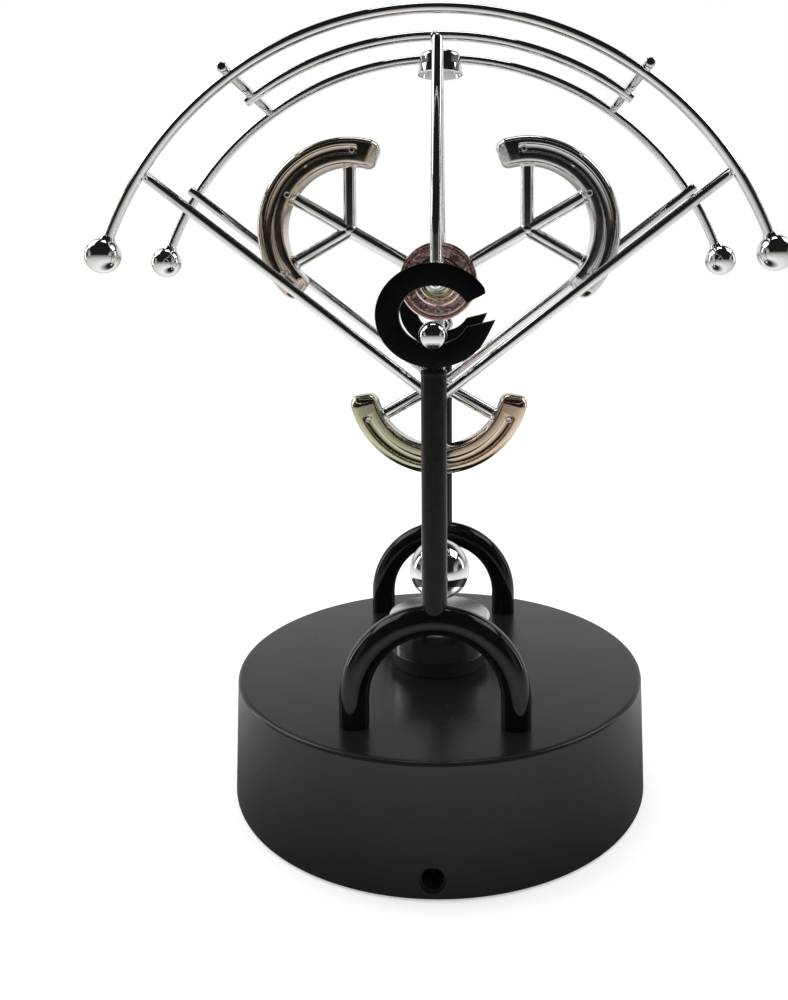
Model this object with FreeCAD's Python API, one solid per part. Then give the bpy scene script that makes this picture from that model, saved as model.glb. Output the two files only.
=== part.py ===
"""Electromagnetic swinging desk toy: a round base with two arches, posts and open hooks, a rod frame
that swings in the hooks on two stub axles, and a three-armed rotor that turns freely inside the frame.

Millimetres, +Z up. The origin is the bottom centre of the base, where the feet stand.
+X is to the viewer's right, -Y is the front, with the power inlet.
"""

import FreeCAD, Part
import math
import os

V = FreeCAD.Vector
X_AXIS = V(1, 0, 0)
Y_AXIS = V(0, 1, 0)
Z_AXIS = V(0, 0, 1)

# ---- driving dimensions -------------------------------------------------------------------
HEIGHT = 200.0            # feet to the top of the balance cup
BASE_D = 110.0            # widest diameter of the base, at its bottom edge

# base
BASE_TOP_D = 108.2        # diameter at the rim
BASE_TOP_Z = 30.3
SHELL_BOTTOM_Z = 0.4      # the feet lift the shell by this much
RIM_R = 0.9               # rounding of the top rim
WALL = 2.2
TOP_T = 2.5
COVER_T = 1.1
COVER_GAP = 0.15
FOOT_R = 5.0
FOOT_T = 0.9
FOOT_PCD_R = 40.0
BOSS_R = 3.2
BOSS_PLACE = (41.3, 15.0)
SCREW_R = 1.3
SCREW_HEAD_R = 2.4
SCREW_LENGTH = 8.0

# power inlet
JACK_Z = 4.5
JACK_HOLE_R = 2.8
JACK_BORE_R = 2.5
JACK_BODY = (8.0, 11.0, 6.0)
JACK_PIN_R = 0.8

# arches, posts and hooks
STAND_Y = 37.1            # arches, posts and hooks stand at plus and minus this
ARCH_ROD_R = 3.55
ARCH_HALF_SPAN = 18.9
ARCH_TOP_Z = 55.3         # rod centre at the crown
STUD_R = 2.0
STUD_END_Z = 21.5
POST_R = 2.95
POST_TOP_Z = 113.4
HOOK_T = 4.0
HOOK_CENTRE = (0.1, 125.8)
HOOK_OUTER = (13.3, 11.85)
HOOK_INNER = (8.0, 6.65)
HOOK_MOUTH = 5.4          # height of the slot the axle comes in through
HOOK_MOUTH_TILT = 16.0
HOOK_MOUTH_Z = 125.75     # height of the slot's middle at HOOK_MOUTH_X
HOOK_MOUTH_X = 9.5

# drive puck and coil
PUCK_R = 13.8
PUCK_BOTTOM_Z = 34.2
PUCK_TOP_Z = 43.5
COLLAR_R = 12.6
CORE_R = 3.0
CORE_TOP_Z = 40.0
CORE_HEAD_R = 7.0
CORE_HEAD_T = 2.0
BOBBIN_R = 14.0
BOBBIN_BARREL_R = 4.4
BOBBIN_FLANGE_T = 1.2
BOBBIN_BOTTOM_Z = 13.5
WINDING_R = 12.6

# circuit board
BOARD = (44.0, 22.0, 1.4)
BOARD_Y = -33.0
PEG_R = 2.0
PEG_X = 17.0
PEG_Y = -25.0

# swinging frame
PIVOT_Z = 121.4
STUB_R = 2.2
PIVOT_BALL_R = 3.2
PIVOT_BALL_Y = 41.9
ROD_R = 1.25
ARC_Y = 22.8
ARC_R = 85.9              # centre line of all three arcs
ARC_CENTRE_Z = 112.5
BALL_ANGLE = 71.2         # from straight up to the middle of an end ball
ARC_END_ANGLE = 70.2      # the rod ends inside the ball
MIDDLE_END_ANGLE = 36.6
CROSSBAR_ANGLE = 35.1
CROSSBAR_HALF = 24.8
END_BALL_R = 4.3
V_ANGLE = 56.5            # where a V bar meets its arc
V_APEX_Z = 104.3
V_OVERHANG = 1.9
BOB_R = 8.1
BOB_Z = 55.4
MAGNET_R = 4.0
MAGNET_T = 5.0
WELD_DEPTH = 0.12         # how far one rod sinks into another where they are welded
YOKE_Y = ARC_Y - 2 * ROD_R + WELD_DEPTH

# rotor and its hanger
ROTOR_Z = 133.9
AXLE_R = 1.2
AXLE_HALF = 23.6
HANGER_R = 1.4
HANGER_BEND_Z = 147.0
HANGER_BEND_R = 12.0
HANGER_TOP_Z = 198.1
HANGER_TOP_Y = 2.53
HANGER_BOSS_R = 2.7
HANGER_BOSS_HALF = 1.6
CAP_NUT_R = 2.1
CUP_TOP_R = 5.85
CUP_RIM_R = 6.6
CUP_HEIGHT = 6.3
CUP_WALL = 0.8
HUB_R = 10.4
HUB_HALF_T = 3.4
HUB_RIM_W = 1.0
HUB_RECESS = 1.5
PLATE_T = 0.7
HUB_SCREW_PCD_R = 7.6
HUB_SCREW_R = 0.8
HUB_SCREW_HEAD_R = 1.05
HUB_SCREW_DEPTH = 0.1     # below the plate's back; the arms lie just behind the holes
BUSH_R = 5.1
BUSH_STEP_R = 3.4
BUSH_LENGTH = 3.2
BUSH_STEP_LENGTH = 1.6
RUNNING_GAP = 0.05
ARM_R = 1.75
ARM_LENGTH = 27.3         # rotor axis to the trident's joint
ARM_ANGLES = {"left": 150.0, "right": 30.0, "lower": 270.0}
PRONG_SPREAD = 60.0
TRIDENT_BALL_R = 2.0
CRESCENT_OUTER_R = 24.4
CRESCENT_INNER_R = 17.2
CRESCENT_HALF_T = 4.2
CRESCENT_HALF_ANGLE = 78.0
CRESCENT_CHAMFER = 1.0
GROOVE_INNER_R = 19.7
GROOVE_OUTER_R = 22.1
GROOVE_DEPTH = 0.8
GROOVE_HALF_ANGLE = 66.0
PRONG_DEPTH = 2.2         # how far a prong goes into its crescent
PIN_R = 0.75
PIN_T = 0.4
MIDDLE_PIN_R = 18.4       # how far the middle prong's pins are from the trident's joint


# ---- helpers ------------------------------------------------------------------------------
def cylinder_z(radius, z0, z1, x=0.0, y=0.0):
    return Part.makeCylinder(radius, z1 - z0, V(x, y, z0), Z_AXIS)


def cylinder_y(radius, y0, y1, x=0.0, z=0.0):
    return Part.makeCylinder(radius, y1 - y0, V(x, y0, z), Y_AXIS)


def rod(start, end, radius):
    """A straight round bar between two points."""
    along = end.sub(start)
    return Part.makeCylinder(radius, along.Length, start, along)


def block(x0, x1, y0, y1, z0, z1):
    return Part.makeBox(x1 - x0, y1 - y0, z1 - z0, V(x0, y0, z0))


def union(shapes):
    shape = shapes[0].fuse(shapes[1:]) if len(shapes) > 1 else shapes[0]
    return shape.removeSplitter()


def polar(centre_z, radius, angle, y=0.0):
    """A point in an upright plane, its angle counted from straight up towards +X."""
    a = math.radians(angle)
    return V(radius * math.sin(a), y, centre_z + radius * math.cos(a))


def bent_arc(y, end_angle):
    """A rod bent to part of a circle about the arcs' centre, the same both sides of the top."""
    centre = V(0, y, ARC_CENTRE_Z)
    start = polar(ARC_CENTRE_Z, ARC_R, -end_angle, y)
    tangent = Y_AXIS.cross(start.sub(centre))
    section = Part.Face(Part.Wire(Part.Circle(start, tangent, ROD_R).toShape()))
    return section.revolve(centre, Y_AXIS, 2 * end_angle)


def swept_rod(edges, radius):
    """A round bar along a path of tangent lines and arcs."""
    path = Part.Wire(edges)
    first = edges[0]
    start = first.valueAt(first.FirstParameter)
    tangent = first.tangentAt(first.FirstParameter)
    section = Part.Wire(Part.Circle(start, tangent, radius).toShape())
    return path.makePipeShell([section], True, True)


def line(a, b):
    return Part.LineSegment(a, b).toShape()


def arc(a, b, c):
    return Part.Arc(a, b, c).toShape()


def ring_sector(inner, outer, y0, y1, half_angle):
    """Part of a flat ring about the Y axis through the origin, centred on +X."""
    a = math.radians(half_angle)
    points = [V(r * math.cos(t), y0, r * math.sin(t)) for r in (inner, outer) for t in (-a, 0, a)]
    low_in, mid_in, high_in, low_out, mid_out, high_out = points
    edges = [
        arc(low_in, mid_in, high_in),
        line(high_in, high_out),
        arc(high_out, mid_out, low_out),
        line(low_out, low_in),
    ]
    return Part.Face(Part.Wire(edges)).extrude(V(0, y1 - y0, 0))


def half_turned(shape):
    """The same piece on the other side, turned half a turn about Z."""
    copy = shape.copy()
    copy.rotate(V(0, 0, 0), Z_AXIS, 180)
    return copy


def mirrored_y(shape):
    return shape.mirror(V(0, 0, 0), Y_AXIS)


def to_rotor(shape, angle):
    """Moves a piece made about the origin, pointing along +X, to its arm's direction."""
    copy = shape.copy()
    copy.rotate(V(0, 0, 0), Y_AXIS, -angle)
    copy.translate(V(0, 0, ROTOR_Z))
    return copy


# ---- base ---------------------------------------------------------------------------------
def arch_feet():
    return [(sx * ARCH_HALF_SPAN, sy * STAND_Y) for sx in (-1, 1) for sy in (-1, 1)]


def boss_places():
    return [(sx * BOSS_PLACE[0], sy * BOSS_PLACE[1]) for sx in (-1, 1) for sy in (-1, 1)]


def foot_places():
    angles = (45, 135, 225, 315)
    return [
        (FOOT_PCD_R * math.cos(math.radians(a)), FOOT_PCD_R * math.sin(math.radians(a)))
        for a in angles
    ]


def jack_face_y():
    """Y of the shell's inner wall face behind the inlet hole."""
    return -(BASE_D / 2 - WALL - 0.4)


def base_shell():
    bottom_r = BASE_D / 2
    top_r = BASE_TOP_D / 2
    height = BASE_TOP_Z - SHELL_BOTTOM_Z
    outside = Part.makeCone(bottom_r, top_r, height, V(0, 0, SHELL_BOTTOM_Z), Z_AXIS)
    rim = [e for e in outside.Edges if abs(e.BoundBox.ZMin - BASE_TOP_Z) < 1e-6 and e.Closed]
    outside = outside.makeFillet(RIM_R, rim[:1])
    inside = Part.makeCone(
        bottom_r - WALL, top_r - WALL, height - TOP_T, V(0, 0, SHELL_BOTTOM_Z), Z_AXIS
    )
    shell = outside.cut(inside)
    boss_z = SHELL_BOTTOM_Z + COVER_T
    bosses = [cylinder_z(BOSS_R, boss_z, BASE_TOP_Z - TOP_T, x, y) for x, y in boss_places()]
    shell = union([shell] + bosses)
    holes = [
        cylinder_z(SCREW_R, boss_z, boss_z + SCREW_LENGTH, x, y) for x, y in boss_places()
    ]
    holes += [
        cylinder_z(STUD_R + 0.15, BASE_TOP_Z - TOP_T - 1, BASE_TOP_Z + 1, x, y)
        for x, y in arch_feet()
    ]
    holes.append(cylinder_z(CORE_R + 0.15, BASE_TOP_Z - TOP_T - 1, BASE_TOP_Z + 1))
    holes.append(cylinder_y(JACK_HOLE_R, -BASE_D, jack_face_y() + 2, 0, JACK_Z))
    seat = JACK_BODY[0] / 2
    holes.append(block(-seat, seat, jack_face_y(), -45, SHELL_BOTTOM_Z, JACK_Z + 8))
    return shell.cut(holes)


def bottom_cover():
    radius = BASE_D / 2 - WALL - COVER_GAP
    top = SHELL_BOTTOM_Z + COVER_T
    cover = cylinder_z(radius, SHELL_BOTTOM_Z, top)
    pegs = [cylinder_z(PEG_R, top, board_z(), sx * PEG_X, PEG_Y) for sx in (-1, 1)]
    cover = union([cover] + pegs)
    tools = [cylinder_z(SCREW_R + 0.2, 0, top + 1, x, y) for x, y in boss_places()]
    tools += [
        cylinder_z(FOOT_R + 0.01, SHELL_BOTTOM_Z, FOOT_T, x, y) for x, y in foot_places()
    ]
    return cover.cut(tools)


def cover_screws():
    screws = []
    for x, y in boss_places():
        shank = cylinder_z(SCREW_R, SHELL_BOTTOM_Z, SHELL_BOTTOM_Z + COVER_T + SCREW_LENGTH - 1, x, y)
        head = cylinder_z(SCREW_HEAD_R, 0.1, SHELL_BOTTOM_Z, x, y)
        slot = block(x - SCREW_HEAD_R, x + SCREW_HEAD_R, y - 0.3, y + 0.3, 0, 0.25)
        screws.append(union([shank, head]).cut(slot))
    return Part.makeCompound(screws)


def rubber_feet():
    return Part.makeCompound([cylinder_z(FOOT_R, 0, FOOT_T, x, y) for x, y in foot_places()])


def board_z():
    """Underside of the circuit board, which rests on the jack and the cover's pegs."""
    return JACK_Z + JACK_BODY[2] / 2


def dc_jack():
    half_w = JACK_BODY[0] / 2
    y0 = jack_face_y()
    body = block(
        -half_w, half_w, y0, y0 + JACK_BODY[1], JACK_Z - JACK_BODY[2] / 2, board_z()
    )
    sleeve = cylinder_y(JACK_HOLE_R, y0 - 1.6, y0, 0, JACK_Z)
    bore = cylinder_y(JACK_BORE_R, y0 - 2, y0 + 9.5, 0, JACK_Z)
    return union([body, sleeve]).cut(bore)


def jack_pin():
    y0 = jack_face_y()
    return cylinder_y(JACK_PIN_R, y0 + 1.5, y0 + 9.5, 0, JACK_Z)


def circuit_board():
    length, depth, thick = BOARD
    y0 = BOARD_Y - depth / 2
    return block(-length / 2, length / 2, y0, y0 + depth, board_z(), board_z() + thick)


def transistor():
    z = board_z() + BOARD[2]
    body = cylinder_z(2.4, z + 2.5, z + 7.5, -9, -31).cut(block(-12, -6, -34, -32.2, z, z + 9))
    legs = [cylinder_z(0.3, z, z + 2.5, -9 + i * 1.27, -31) for i in (-1, 0, 1)]
    return union([body] + legs)


def capacitor():
    z = board_z() + BOARD[2]
    can = cylinder_z(3.2, z, z + 9.0, 8, -33)
    top = [e for e in can.Edges if e.Closed and abs(e.BoundBox.ZMin - z - 9.0) < 1e-6]
    return can.makeFillet(0.5, top[:1])


def bobbin_top_z():
    return BASE_TOP_Z - TOP_T


def coil_bobbin():
    top = bobbin_top_z()
    shape = union([
        cylinder_z(BOBBIN_R, BOBBIN_BOTTOM_Z, BOBBIN_BOTTOM_Z + BOBBIN_FLANGE_T),
        cylinder_z(BOBBIN_BARREL_R, BOBBIN_BOTTOM_Z, top),
        cylinder_z(BOBBIN_R, top - BOBBIN_FLANGE_T, top),
    ])
    return shape.cut(cylinder_z(CORE_R, BOBBIN_BOTTOM_Z - 1, top + 1))


def coil_winding():
    z0 = BOBBIN_BOTTOM_Z + BOBBIN_FLANGE_T
    z1 = bobbin_top_z() - BOBBIN_FLANGE_T
    return cylinder_z(WINDING_R, z0, z1).cut(cylinder_z(BOBBIN_BARREL_R, z0 - 1, z1 + 1))


def coil_core():
    head = cylinder_z(CORE_HEAD_R, BOBBIN_BOTTOM_Z - CORE_HEAD_T, BOBBIN_BOTTOM_Z)
    return union([head, cylinder_z(CORE_R, BOBBIN_BOTTOM_Z - CORE_HEAD_T, CORE_TOP_Z)])


def coil_leads(winding):
    """Two short wires from the winding's side down to the board."""
    leads = []
    board_top = board_z() + BOARD[2]
    wire_z = BOBBIN_BOTTOM_Z + BOBBIN_FLANGE_T + 1.2
    bend = 3.0
    for x in (-3.0, 3.0):
        y0 = -math.sqrt(WINDING_R ** 2 - x ** 2) + 0.5
        y1 = -24.5
        k = bend * math.sin(math.radians(45))
        edges = [
            line(V(x, y0, wire_z), V(x, y1 + bend, wire_z)),
            arc(
                V(x, y1 + bend, wire_z),
                V(x, y1 + bend - k, wire_z - bend + k),
                V(x, y1, wire_z - bend),
            ),
            line(V(x, y1, wire_z - bend), V(x, y1, board_top)),
        ]
        leads.append(swept_rod(edges, 0.4).cut(winding))
    return Part.makeCompound(leads)


def puck_collar():
    return cylinder_z(COLLAR_R, BASE_TOP_Z, PUCK_BOTTOM_Z).cut(
        cylinder_z(CORE_R + 0.15, BASE_TOP_Z - 1, PUCK_BOTTOM_Z + 1)
    )


def drive_puck():
    puck = cylinder_z(PUCK_R, PUCK_BOTTOM_Z, PUCK_TOP_Z)
    rims = [e for e in puck.Edges if e.Closed and e.BoundBox.ZLength < 1e-6]
    puck = puck.makeFillet(0.6, rims)
    return puck.cut(cylinder_z(CORE_R, PUCK_BOTTOM_Z - 1, CORE_TOP_Z))


# ---- arches, posts, hooks -----------------------------------------------------------------
def arch(y):
    spring_z = ARCH_TOP_Z - ARCH_HALF_SPAN
    edges = [
        line(V(-ARCH_HALF_SPAN, y, BASE_TOP_Z), V(-ARCH_HALF_SPAN, y, spring_z)),
        arc(V(-ARCH_HALF_SPAN, y, spring_z), V(0, y, ARCH_TOP_Z), V(ARCH_HALF_SPAN, y, spring_z)),
        line(V(ARCH_HALF_SPAN, y, spring_z), V(ARCH_HALF_SPAN, y, BASE_TOP_Z)),
    ]
    bow = swept_rod(edges, ARCH_ROD_R)
    studs = [
        cylinder_z(STUD_R, STUD_END_Z, BASE_TOP_Z, sx * ARCH_HALF_SPAN, y) for sx in (-1, 1)
    ]
    return union([bow] + studs)


def arch_washers():
    top = BASE_TOP_Z - TOP_T
    return Part.makeCompound([
        cylinder_z(4.4, top - 0.8, top, x, y).cut(cylinder_z(STUD_R, top - 2, top + 1, x, y))
        for x, y in arch_feet()
    ])


def hex_prism(across, z0, z1, x, y):
    radius = across / math.sqrt(3)
    corners = [
        V(x + radius * math.cos(math.radians(60 * i)), y + radius * math.sin(math.radians(60 * i)), z0)
        for i in range(7)
    ]
    return Part.Face(Part.makePolygon(corners)).extrude(V(0, 0, z1 - z0))


def arch_nuts():
    top = BASE_TOP_Z - TOP_T - 0.8
    return Part.makeCompound([
        hex_prism(7.0, top - 3.2, top, x, y).cut(cylinder_z(STUD_R, top - 5, top + 1, x, y))
        for x, y in arch_feet()
    ])


def post(y, own_arch):
    upright = cylinder_z(POST_R, ARCH_TOP_Z, POST_TOP_Z, 0, y)
    return upright.cut(own_arch)


def ellipse_plate(centre, radii, y, thickness):
    curve = Part.Ellipse(V(0, 0, 0), radii[0], radii[1])
    face = Part.Face(Part.Wire(curve.toShape()))
    face.rotate(V(0, 0, 0), X_AXIS, 90)
    face.translate(V(centre[0], y + thickness / 2, centre[1]))
    return face.extrude(V(0, -thickness, 0))


def hook(y):
    """A flat C plate, open to +X, with a short neck that stands on its post."""
    plate = ellipse_plate(HOOK_CENTRE, HOOK_OUTER, y, HOOK_T)
    eye = ellipse_plate(HOOK_CENTRE, HOOK_INNER, y, HOOK_T + 2)
    tilt = math.radians(HOOK_MOUTH_TILT)
    lip = [
        V(8.6, y - HOOK_T / 2, 121.9),
        V(14.2, y - HOOK_T / 2, 124.85),
        V(12.3, y - HOOK_T / 2, 120.2),
        V(8.6, y - HOOK_T / 2, 121.9),
    ]
    tip = Part.Face(Part.makePolygon(lip)).extrude(V(0, HOOK_T, 0))
    slot = block(0, 14, y - HOOK_T, y + HOOK_T, -HOOK_MOUTH / 2, HOOK_MOUTH / 2)
    slot.rotate(V(0, y, 0), Y_AXIS, -HOOK_MOUTH_TILT)
    slot.translate(V(HOOK_MOUTH_X - 6 * math.cos(tilt), 0, HOOK_MOUTH_Z - 6 * math.sin(tilt)))
    plate = union([plate, tip]).cut([eye, slot])
    neck = cylinder_z(POST_R, POST_TOP_Z, HOOK_CENTRE[1] - HOOK_OUTER[1] + 0.8, 0, y)
    return union([plate, neck])


# ---- swinging frame -----------------------------------------------------------------------
def crossbar(side):
    middle = polar(ARC_CENTRE_Z, ARC_R + 2 * ROD_R - WELD_DEPTH, side * CROSSBAR_ANGLE)
    return cylinder_y(ROD_R, -CROSSBAR_HALF, CROSSBAR_HALF, middle.x, middle.z)


def end_balls(arcs):
    balls = []
    for sy in (-1, 1):
        for sx in (-1, 1):
            centre = polar(ARC_CENTRE_Z, ARC_R, sx * BALL_ANGLE, sy * ARC_Y)
            outward = centre.sub(V(0, sy * ARC_Y, ARC_CENTRE_Z))
            along_rod = Y_AXIS.cross(outward)
            balls.append(Part.makeSphere(END_BALL_R, centre, along_rod).cut(arcs))
    return Part.makeCompound(balls)


def v_bar(side_x, side_y):
    """From the yoke's leg at the apex out to the arc, on the arc's inner side."""
    y = side_y * YOKE_Y
    apex = V(0, y, V_APEX_Z)
    joint = polar(ARC_CENTRE_Z, ARC_R, side_x * V_ANGLE, y)
    along = joint.sub(apex)
    along.normalize()
    return rod(apex, joint.add(along * V_OVERHANG), ROD_R)


def yoke():
    """One rod bent to a U: down from the front stub axle, under the rotor and up to the back one."""
    bend_z = BOB_Z + BOB_R + ROD_R + YOKE_Y - 0.6
    edges = [
        line(V(0, -YOKE_Y, PIVOT_Z), V(0, -YOKE_Y, bend_z)),
        arc(V(0, -YOKE_Y, bend_z), V(0, 0, bend_z - YOKE_Y), V(0, YOKE_Y, bend_z)),
        line(V(0, YOKE_Y, bend_z), V(0, YOKE_Y, PIVOT_Z)),
    ]
    return swept_rod(edges, ROD_R)


def stub_axle(side):
    """A stub that rests in the hook, with the yoke's leg under its inner end."""
    inner = YOKE_Y - 1.6
    outer = PIVOT_BALL_Y - math.sqrt(PIVOT_BALL_R ** 2 - STUB_R ** 2) + 0.02
    y0, y1 = (inner, outer) if side > 0 else (-outer, -inner)
    return cylinder_y(STUB_R, y0, y1, 0, PIVOT_Z)


def pivot_balls(stubs):
    balls = [Part.makeSphere(PIVOT_BALL_R, V(0, s * PIVOT_BALL_Y, PIVOT_Z)) for s in (-1, 1)]
    return Part.makeCompound([ball.cut(stubs) for ball in balls])


def bob(yoke_shape):
    ball = Part.makeSphere(BOB_R, V(0, 0, BOB_Z))
    return ball.cut([yoke_shape, bob_magnet()])


def bob_magnet():
    z0 = BOB_Z - BOB_R + 1.6
    return cylinder_z(MAGNET_R, z0, z0 + MAGNET_T)


def hanger_leg(side):
    """From the middle arc's side down and out, then straight down to the rotor's axle."""
    top = V(0, side * HANGER_TOP_Y, HANGER_TOP_Z)
    knee = V(0, side * YOKE_Y, HANGER_BEND_Z)
    foot = V(0, side * YOKE_Y, ROTOR_Z)
    slope = top.sub(knee)
    slope.normalize()
    turn = slope.getAngle(Z_AXIS)
    reach = HANGER_BEND_R * math.tan(turn / 2)
    a = knee.add(slope * reach)
    c = V(0, side * YOKE_Y, HANGER_BEND_Z - reach)
    centre = V(0, side * (YOKE_Y - HANGER_BEND_R), HANGER_BEND_Z - reach)
    to_knee = knee.sub(centre)
    to_knee.normalize()
    b = centre.add(to_knee * HANGER_BEND_R)
    leg = swept_rod([line(top, a), arc(a, b, c), line(c, foot)], HANGER_R)
    tip = Part.makeSphere(HANGER_R, top)
    y = side * YOKE_Y
    boss = cylinder_y(HANGER_BOSS_R, y - HANGER_BOSS_HALF, y + HANGER_BOSS_HALF, 0, ROTOR_Z)
    leg = union([leg, tip, boss])
    return leg.cut(cylinder_y(AXLE_R, -AXLE_HALF, AXLE_HALF, 0, ROTOR_Z))


def rotor_axle():
    return cylinder_y(AXLE_R, -AXLE_HALF, AXLE_HALF, 0, ROTOR_Z)


def axle_nuts(axle):
    """Domed nuts on the axle's two ends, against the hanger's bosses."""
    nuts = []
    for side in (-1, 1):
        y = side * (YOKE_Y + HANGER_BOSS_HALF)
        nut = cylinder_y(CAP_NUT_R, min(y, y + side * 1.6), max(y, y + side * 1.6), 0, ROTOR_Z)
        dome = Part.makeSphere(CAP_NUT_R, V(0, y + side * 1.2, ROTOR_Z))
        keep = block(-5, 5, min(y, y + side * 5), max(y, y + side * 5), ROTOR_Z - 5, ROTOR_Z + 5)
        nuts.append(union([nut, dome.common(keep)]).cut(axle))
    return Part.makeCompound(nuts)


def balance_cup(back_arc):
    """A small bell, open below, threaded on the middle of the back arc."""
    rim_z = HEIGHT - CUP_HEIGHT
    centre = V(0, ARC_Y, rim_z)
    outside = Part.makeCone(CUP_RIM_R, CUP_TOP_R, CUP_HEIGHT, centre, Z_AXIS)
    top = [e for e in outside.Edges if e.Closed and abs(e.BoundBox.ZMin - HEIGHT) < 1e-6]
    outside = outside.makeFillet(1.6, top[:1])
    depth = CUP_HEIGHT - CUP_WALL
    inside = Part.makeCone(CUP_RIM_R - CUP_WALL, CUP_TOP_R - CUP_WALL, depth, centre, Z_AXIS)
    return outside.cut([inside, back_arc])


# ---- rotor --------------------------------------------------------------------------------
def arm_at_origin():
    """An arm and its three prongs, pointing along +X from the rotor's axis."""
    joint = V(ARM_LENGTH, 0, 0)
    bars = [rod(V(HUB_R - HUB_RIM_W - 1.4, 0, 0), joint, ARM_R), Part.makeSphere(TRIDENT_BALL_R, joint)]
    reach = CRESCENT_INNER_R + PRONG_DEPTH
    for turn in (-PRONG_SPREAD, 0, PRONG_SPREAD):
        a = math.radians(turn)
        bars.append(rod(joint, joint.add(V(math.cos(a), 0, math.sin(a)) * reach), ARM_R))
    return union(bars)


def crescent_at_origin(arm):
    """A half ring of six-sided section about the trident's joint, with a groove along each face."""
    y = CRESCENT_HALF_T
    ring = ring_sector(CRESCENT_INNER_R, CRESCENT_OUTER_R, -y, y, CRESCENT_HALF_ANGLE)
    edges = [e for e in ring.Edges if abs(abs(e.CenterOfMass.y) - y) < 1e-6]
    ring = ring.makeChamfer(CRESCENT_CHAMFER, edges)
    grooves = [
        ring_sector(GROOVE_INNER_R, GROOVE_OUTER_R, a, b, GROOVE_HALF_ANGLE)
        for a, b in ((-y - 1, -y + GROOVE_DEPTH), (y - GROOVE_DEPTH, y + 1))
    ]
    ring = ring.cut(grooves)
    ring.translate(V(ARM_LENGTH, 0, 0))
    return ring.cut(arm)


def pins_at_origin():
    """Round pin heads over the prongs' ends, front and back: two in each groove, one inside it."""
    pins = []
    groove_r = (GROOVE_INNER_R + GROOVE_OUTER_R) / 2
    groove_floor = CRESCENT_HALF_T - GROOVE_DEPTH
    for turn in (-PRONG_SPREAD, 0, PRONG_SPREAD):
        a = math.radians(turn)
        radius = groove_r if turn else MIDDLE_PIN_R
        floor = groove_floor if turn else CRESCENT_HALF_T
        x = ARM_LENGTH + radius * math.cos(a)
        z = radius * math.sin(a)
        pins.append(cylinder_y(PIN_R, -floor - PIN_T, -floor, x, z))
        pins.append(cylinder_y(PIN_R, floor, floor + PIN_T, x, z))
    return pins


def rotor_hub(arms):
    drum = cylinder_y(HUB_R, -HUB_HALF_T, HUB_HALF_T, 0, ROTOR_Z)
    rims = [e for e in drum.Edges if e.Closed and e.BoundBox.YLength < 1e-6]
    drum = drum.makeFillet(0.5, rims)
    floor = HUB_HALF_T - HUB_RECESS
    face_r = HUB_R - HUB_RIM_W
    tools = [
        cylinder_y(face_r, -HUB_HALF_T - 1, -floor, 0, ROTOR_Z),
        cylinder_y(face_r, floor, HUB_HALF_T + 1, 0, ROTOR_Z),
        cylinder_y(BUSH_STEP_R, -HUB_HALF_T, HUB_HALF_T, 0, ROTOR_Z),
    ]
    for x, z in hub_screw_places():
        tools.append(cylinder_y(HUB_SCREW_R, -floor - 1, -floor + HUB_SCREW_DEPTH, x, z))
    return drum.cut(tools + arms)


def hub_screw_places():
    return [
        (
            HUB_SCREW_PCD_R * math.cos(math.radians(a)),
            ROTOR_Z + HUB_SCREW_PCD_R * math.sin(math.radians(a)),
        )
        for a in ARM_ANGLES.values()
    ]


def hub_plate(side):
    """A thin face plate in the hub's recess, with a hole for the bush."""
    inner = HUB_HALF_T - HUB_RECESS
    y0, y1 = (inner, inner + PLATE_T) if side > 0 else (-inner - PLATE_T, -inner)
    plate = cylinder_y(HUB_R - HUB_RIM_W - 0.1, y0, y1, 0, ROTOR_Z)
    tools = [cylinder_y(BUSH_R, y0 - 1, y1 + 1, 0, ROTOR_Z)]
    if side < 0:
        tools += [cylinder_y(HUB_SCREW_R, y0 - 1, y1 + 1, x, z) for x, z in hub_screw_places()]
    return plate.cut(tools)


def hub_screws():
    """Three small screws through the front plate."""
    floor = HUB_HALF_T - HUB_RECESS
    face = -floor - PLATE_T
    screws = []
    for x, z in hub_screw_places():
        shank = cylinder_y(HUB_SCREW_R, face, -floor + HUB_SCREW_DEPTH, x, z)
        head = cylinder_y(HUB_SCREW_HEAD_R, face - 0.6, face, x, z)
        slot = block(x - 1.2, x + 1.2, face - 0.7, face - 0.35, z - 0.15, z + 0.15)
        screws.append(union([shank, head]).cut(slot))
    return Part.makeCompound(screws)


def bush(side):
    """A stepped bush that turns on the fixed axle and fills the hub's middle."""
    inner = HUB_HALF_T - HUB_RECESS
    parts = [
        cylinder_y(BUSH_STEP_R, 0.05, inner, 0, ROTOR_Z),
        cylinder_y(BUSH_R, inner, inner + BUSH_LENGTH, 0, ROTOR_Z),
        cylinder_y(BUSH_STEP_R, inner + BUSH_LENGTH, inner + BUSH_LENGTH + BUSH_STEP_LENGTH, 0, ROTOR_Z),
    ]
    shape = union(parts).cut(cylinder_y(AXLE_R + RUNNING_GAP, -1, 20, 0, ROTOR_Z))
    return shape if side > 0 else mirrored_y(shape)


# ---- assembly -----------------------------------------------------------------------------
def base_nodes():
    winding = coil_winding()
    nodes = {
        "base_shell": base_shell(),
        "bottom_cover": bottom_cover(),
        "cover_screws": cover_screws(),
        "rubber_feet": rubber_feet(),
        "dc_jack": dc_jack(),
        "jack_pin": jack_pin(),
        "circuit_board": circuit_board(),
        "transistor": transistor(),
        "capacitor": capacitor(),
        "coil_bobbin": coil_bobbin(),
        "coil_winding": winding,
        "coil_core": coil_core(),
        "coil_leads": coil_leads(winding),
        "puck_collar": puck_collar(),
        "drive_puck": drive_puck(),
        "arch_washers": arch_washers(),
        "arch_nuts": arch_nuts(),
    }
    for name, side in (("front", -1), ("back", 1)):
        bow = arch(side * STAND_Y)
        nodes["arch_" + name] = bow
        nodes["post_" + name] = post(side * STAND_Y, bow)
        nodes["hook_" + name] = hook(side * STAND_Y)
    return nodes


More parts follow.
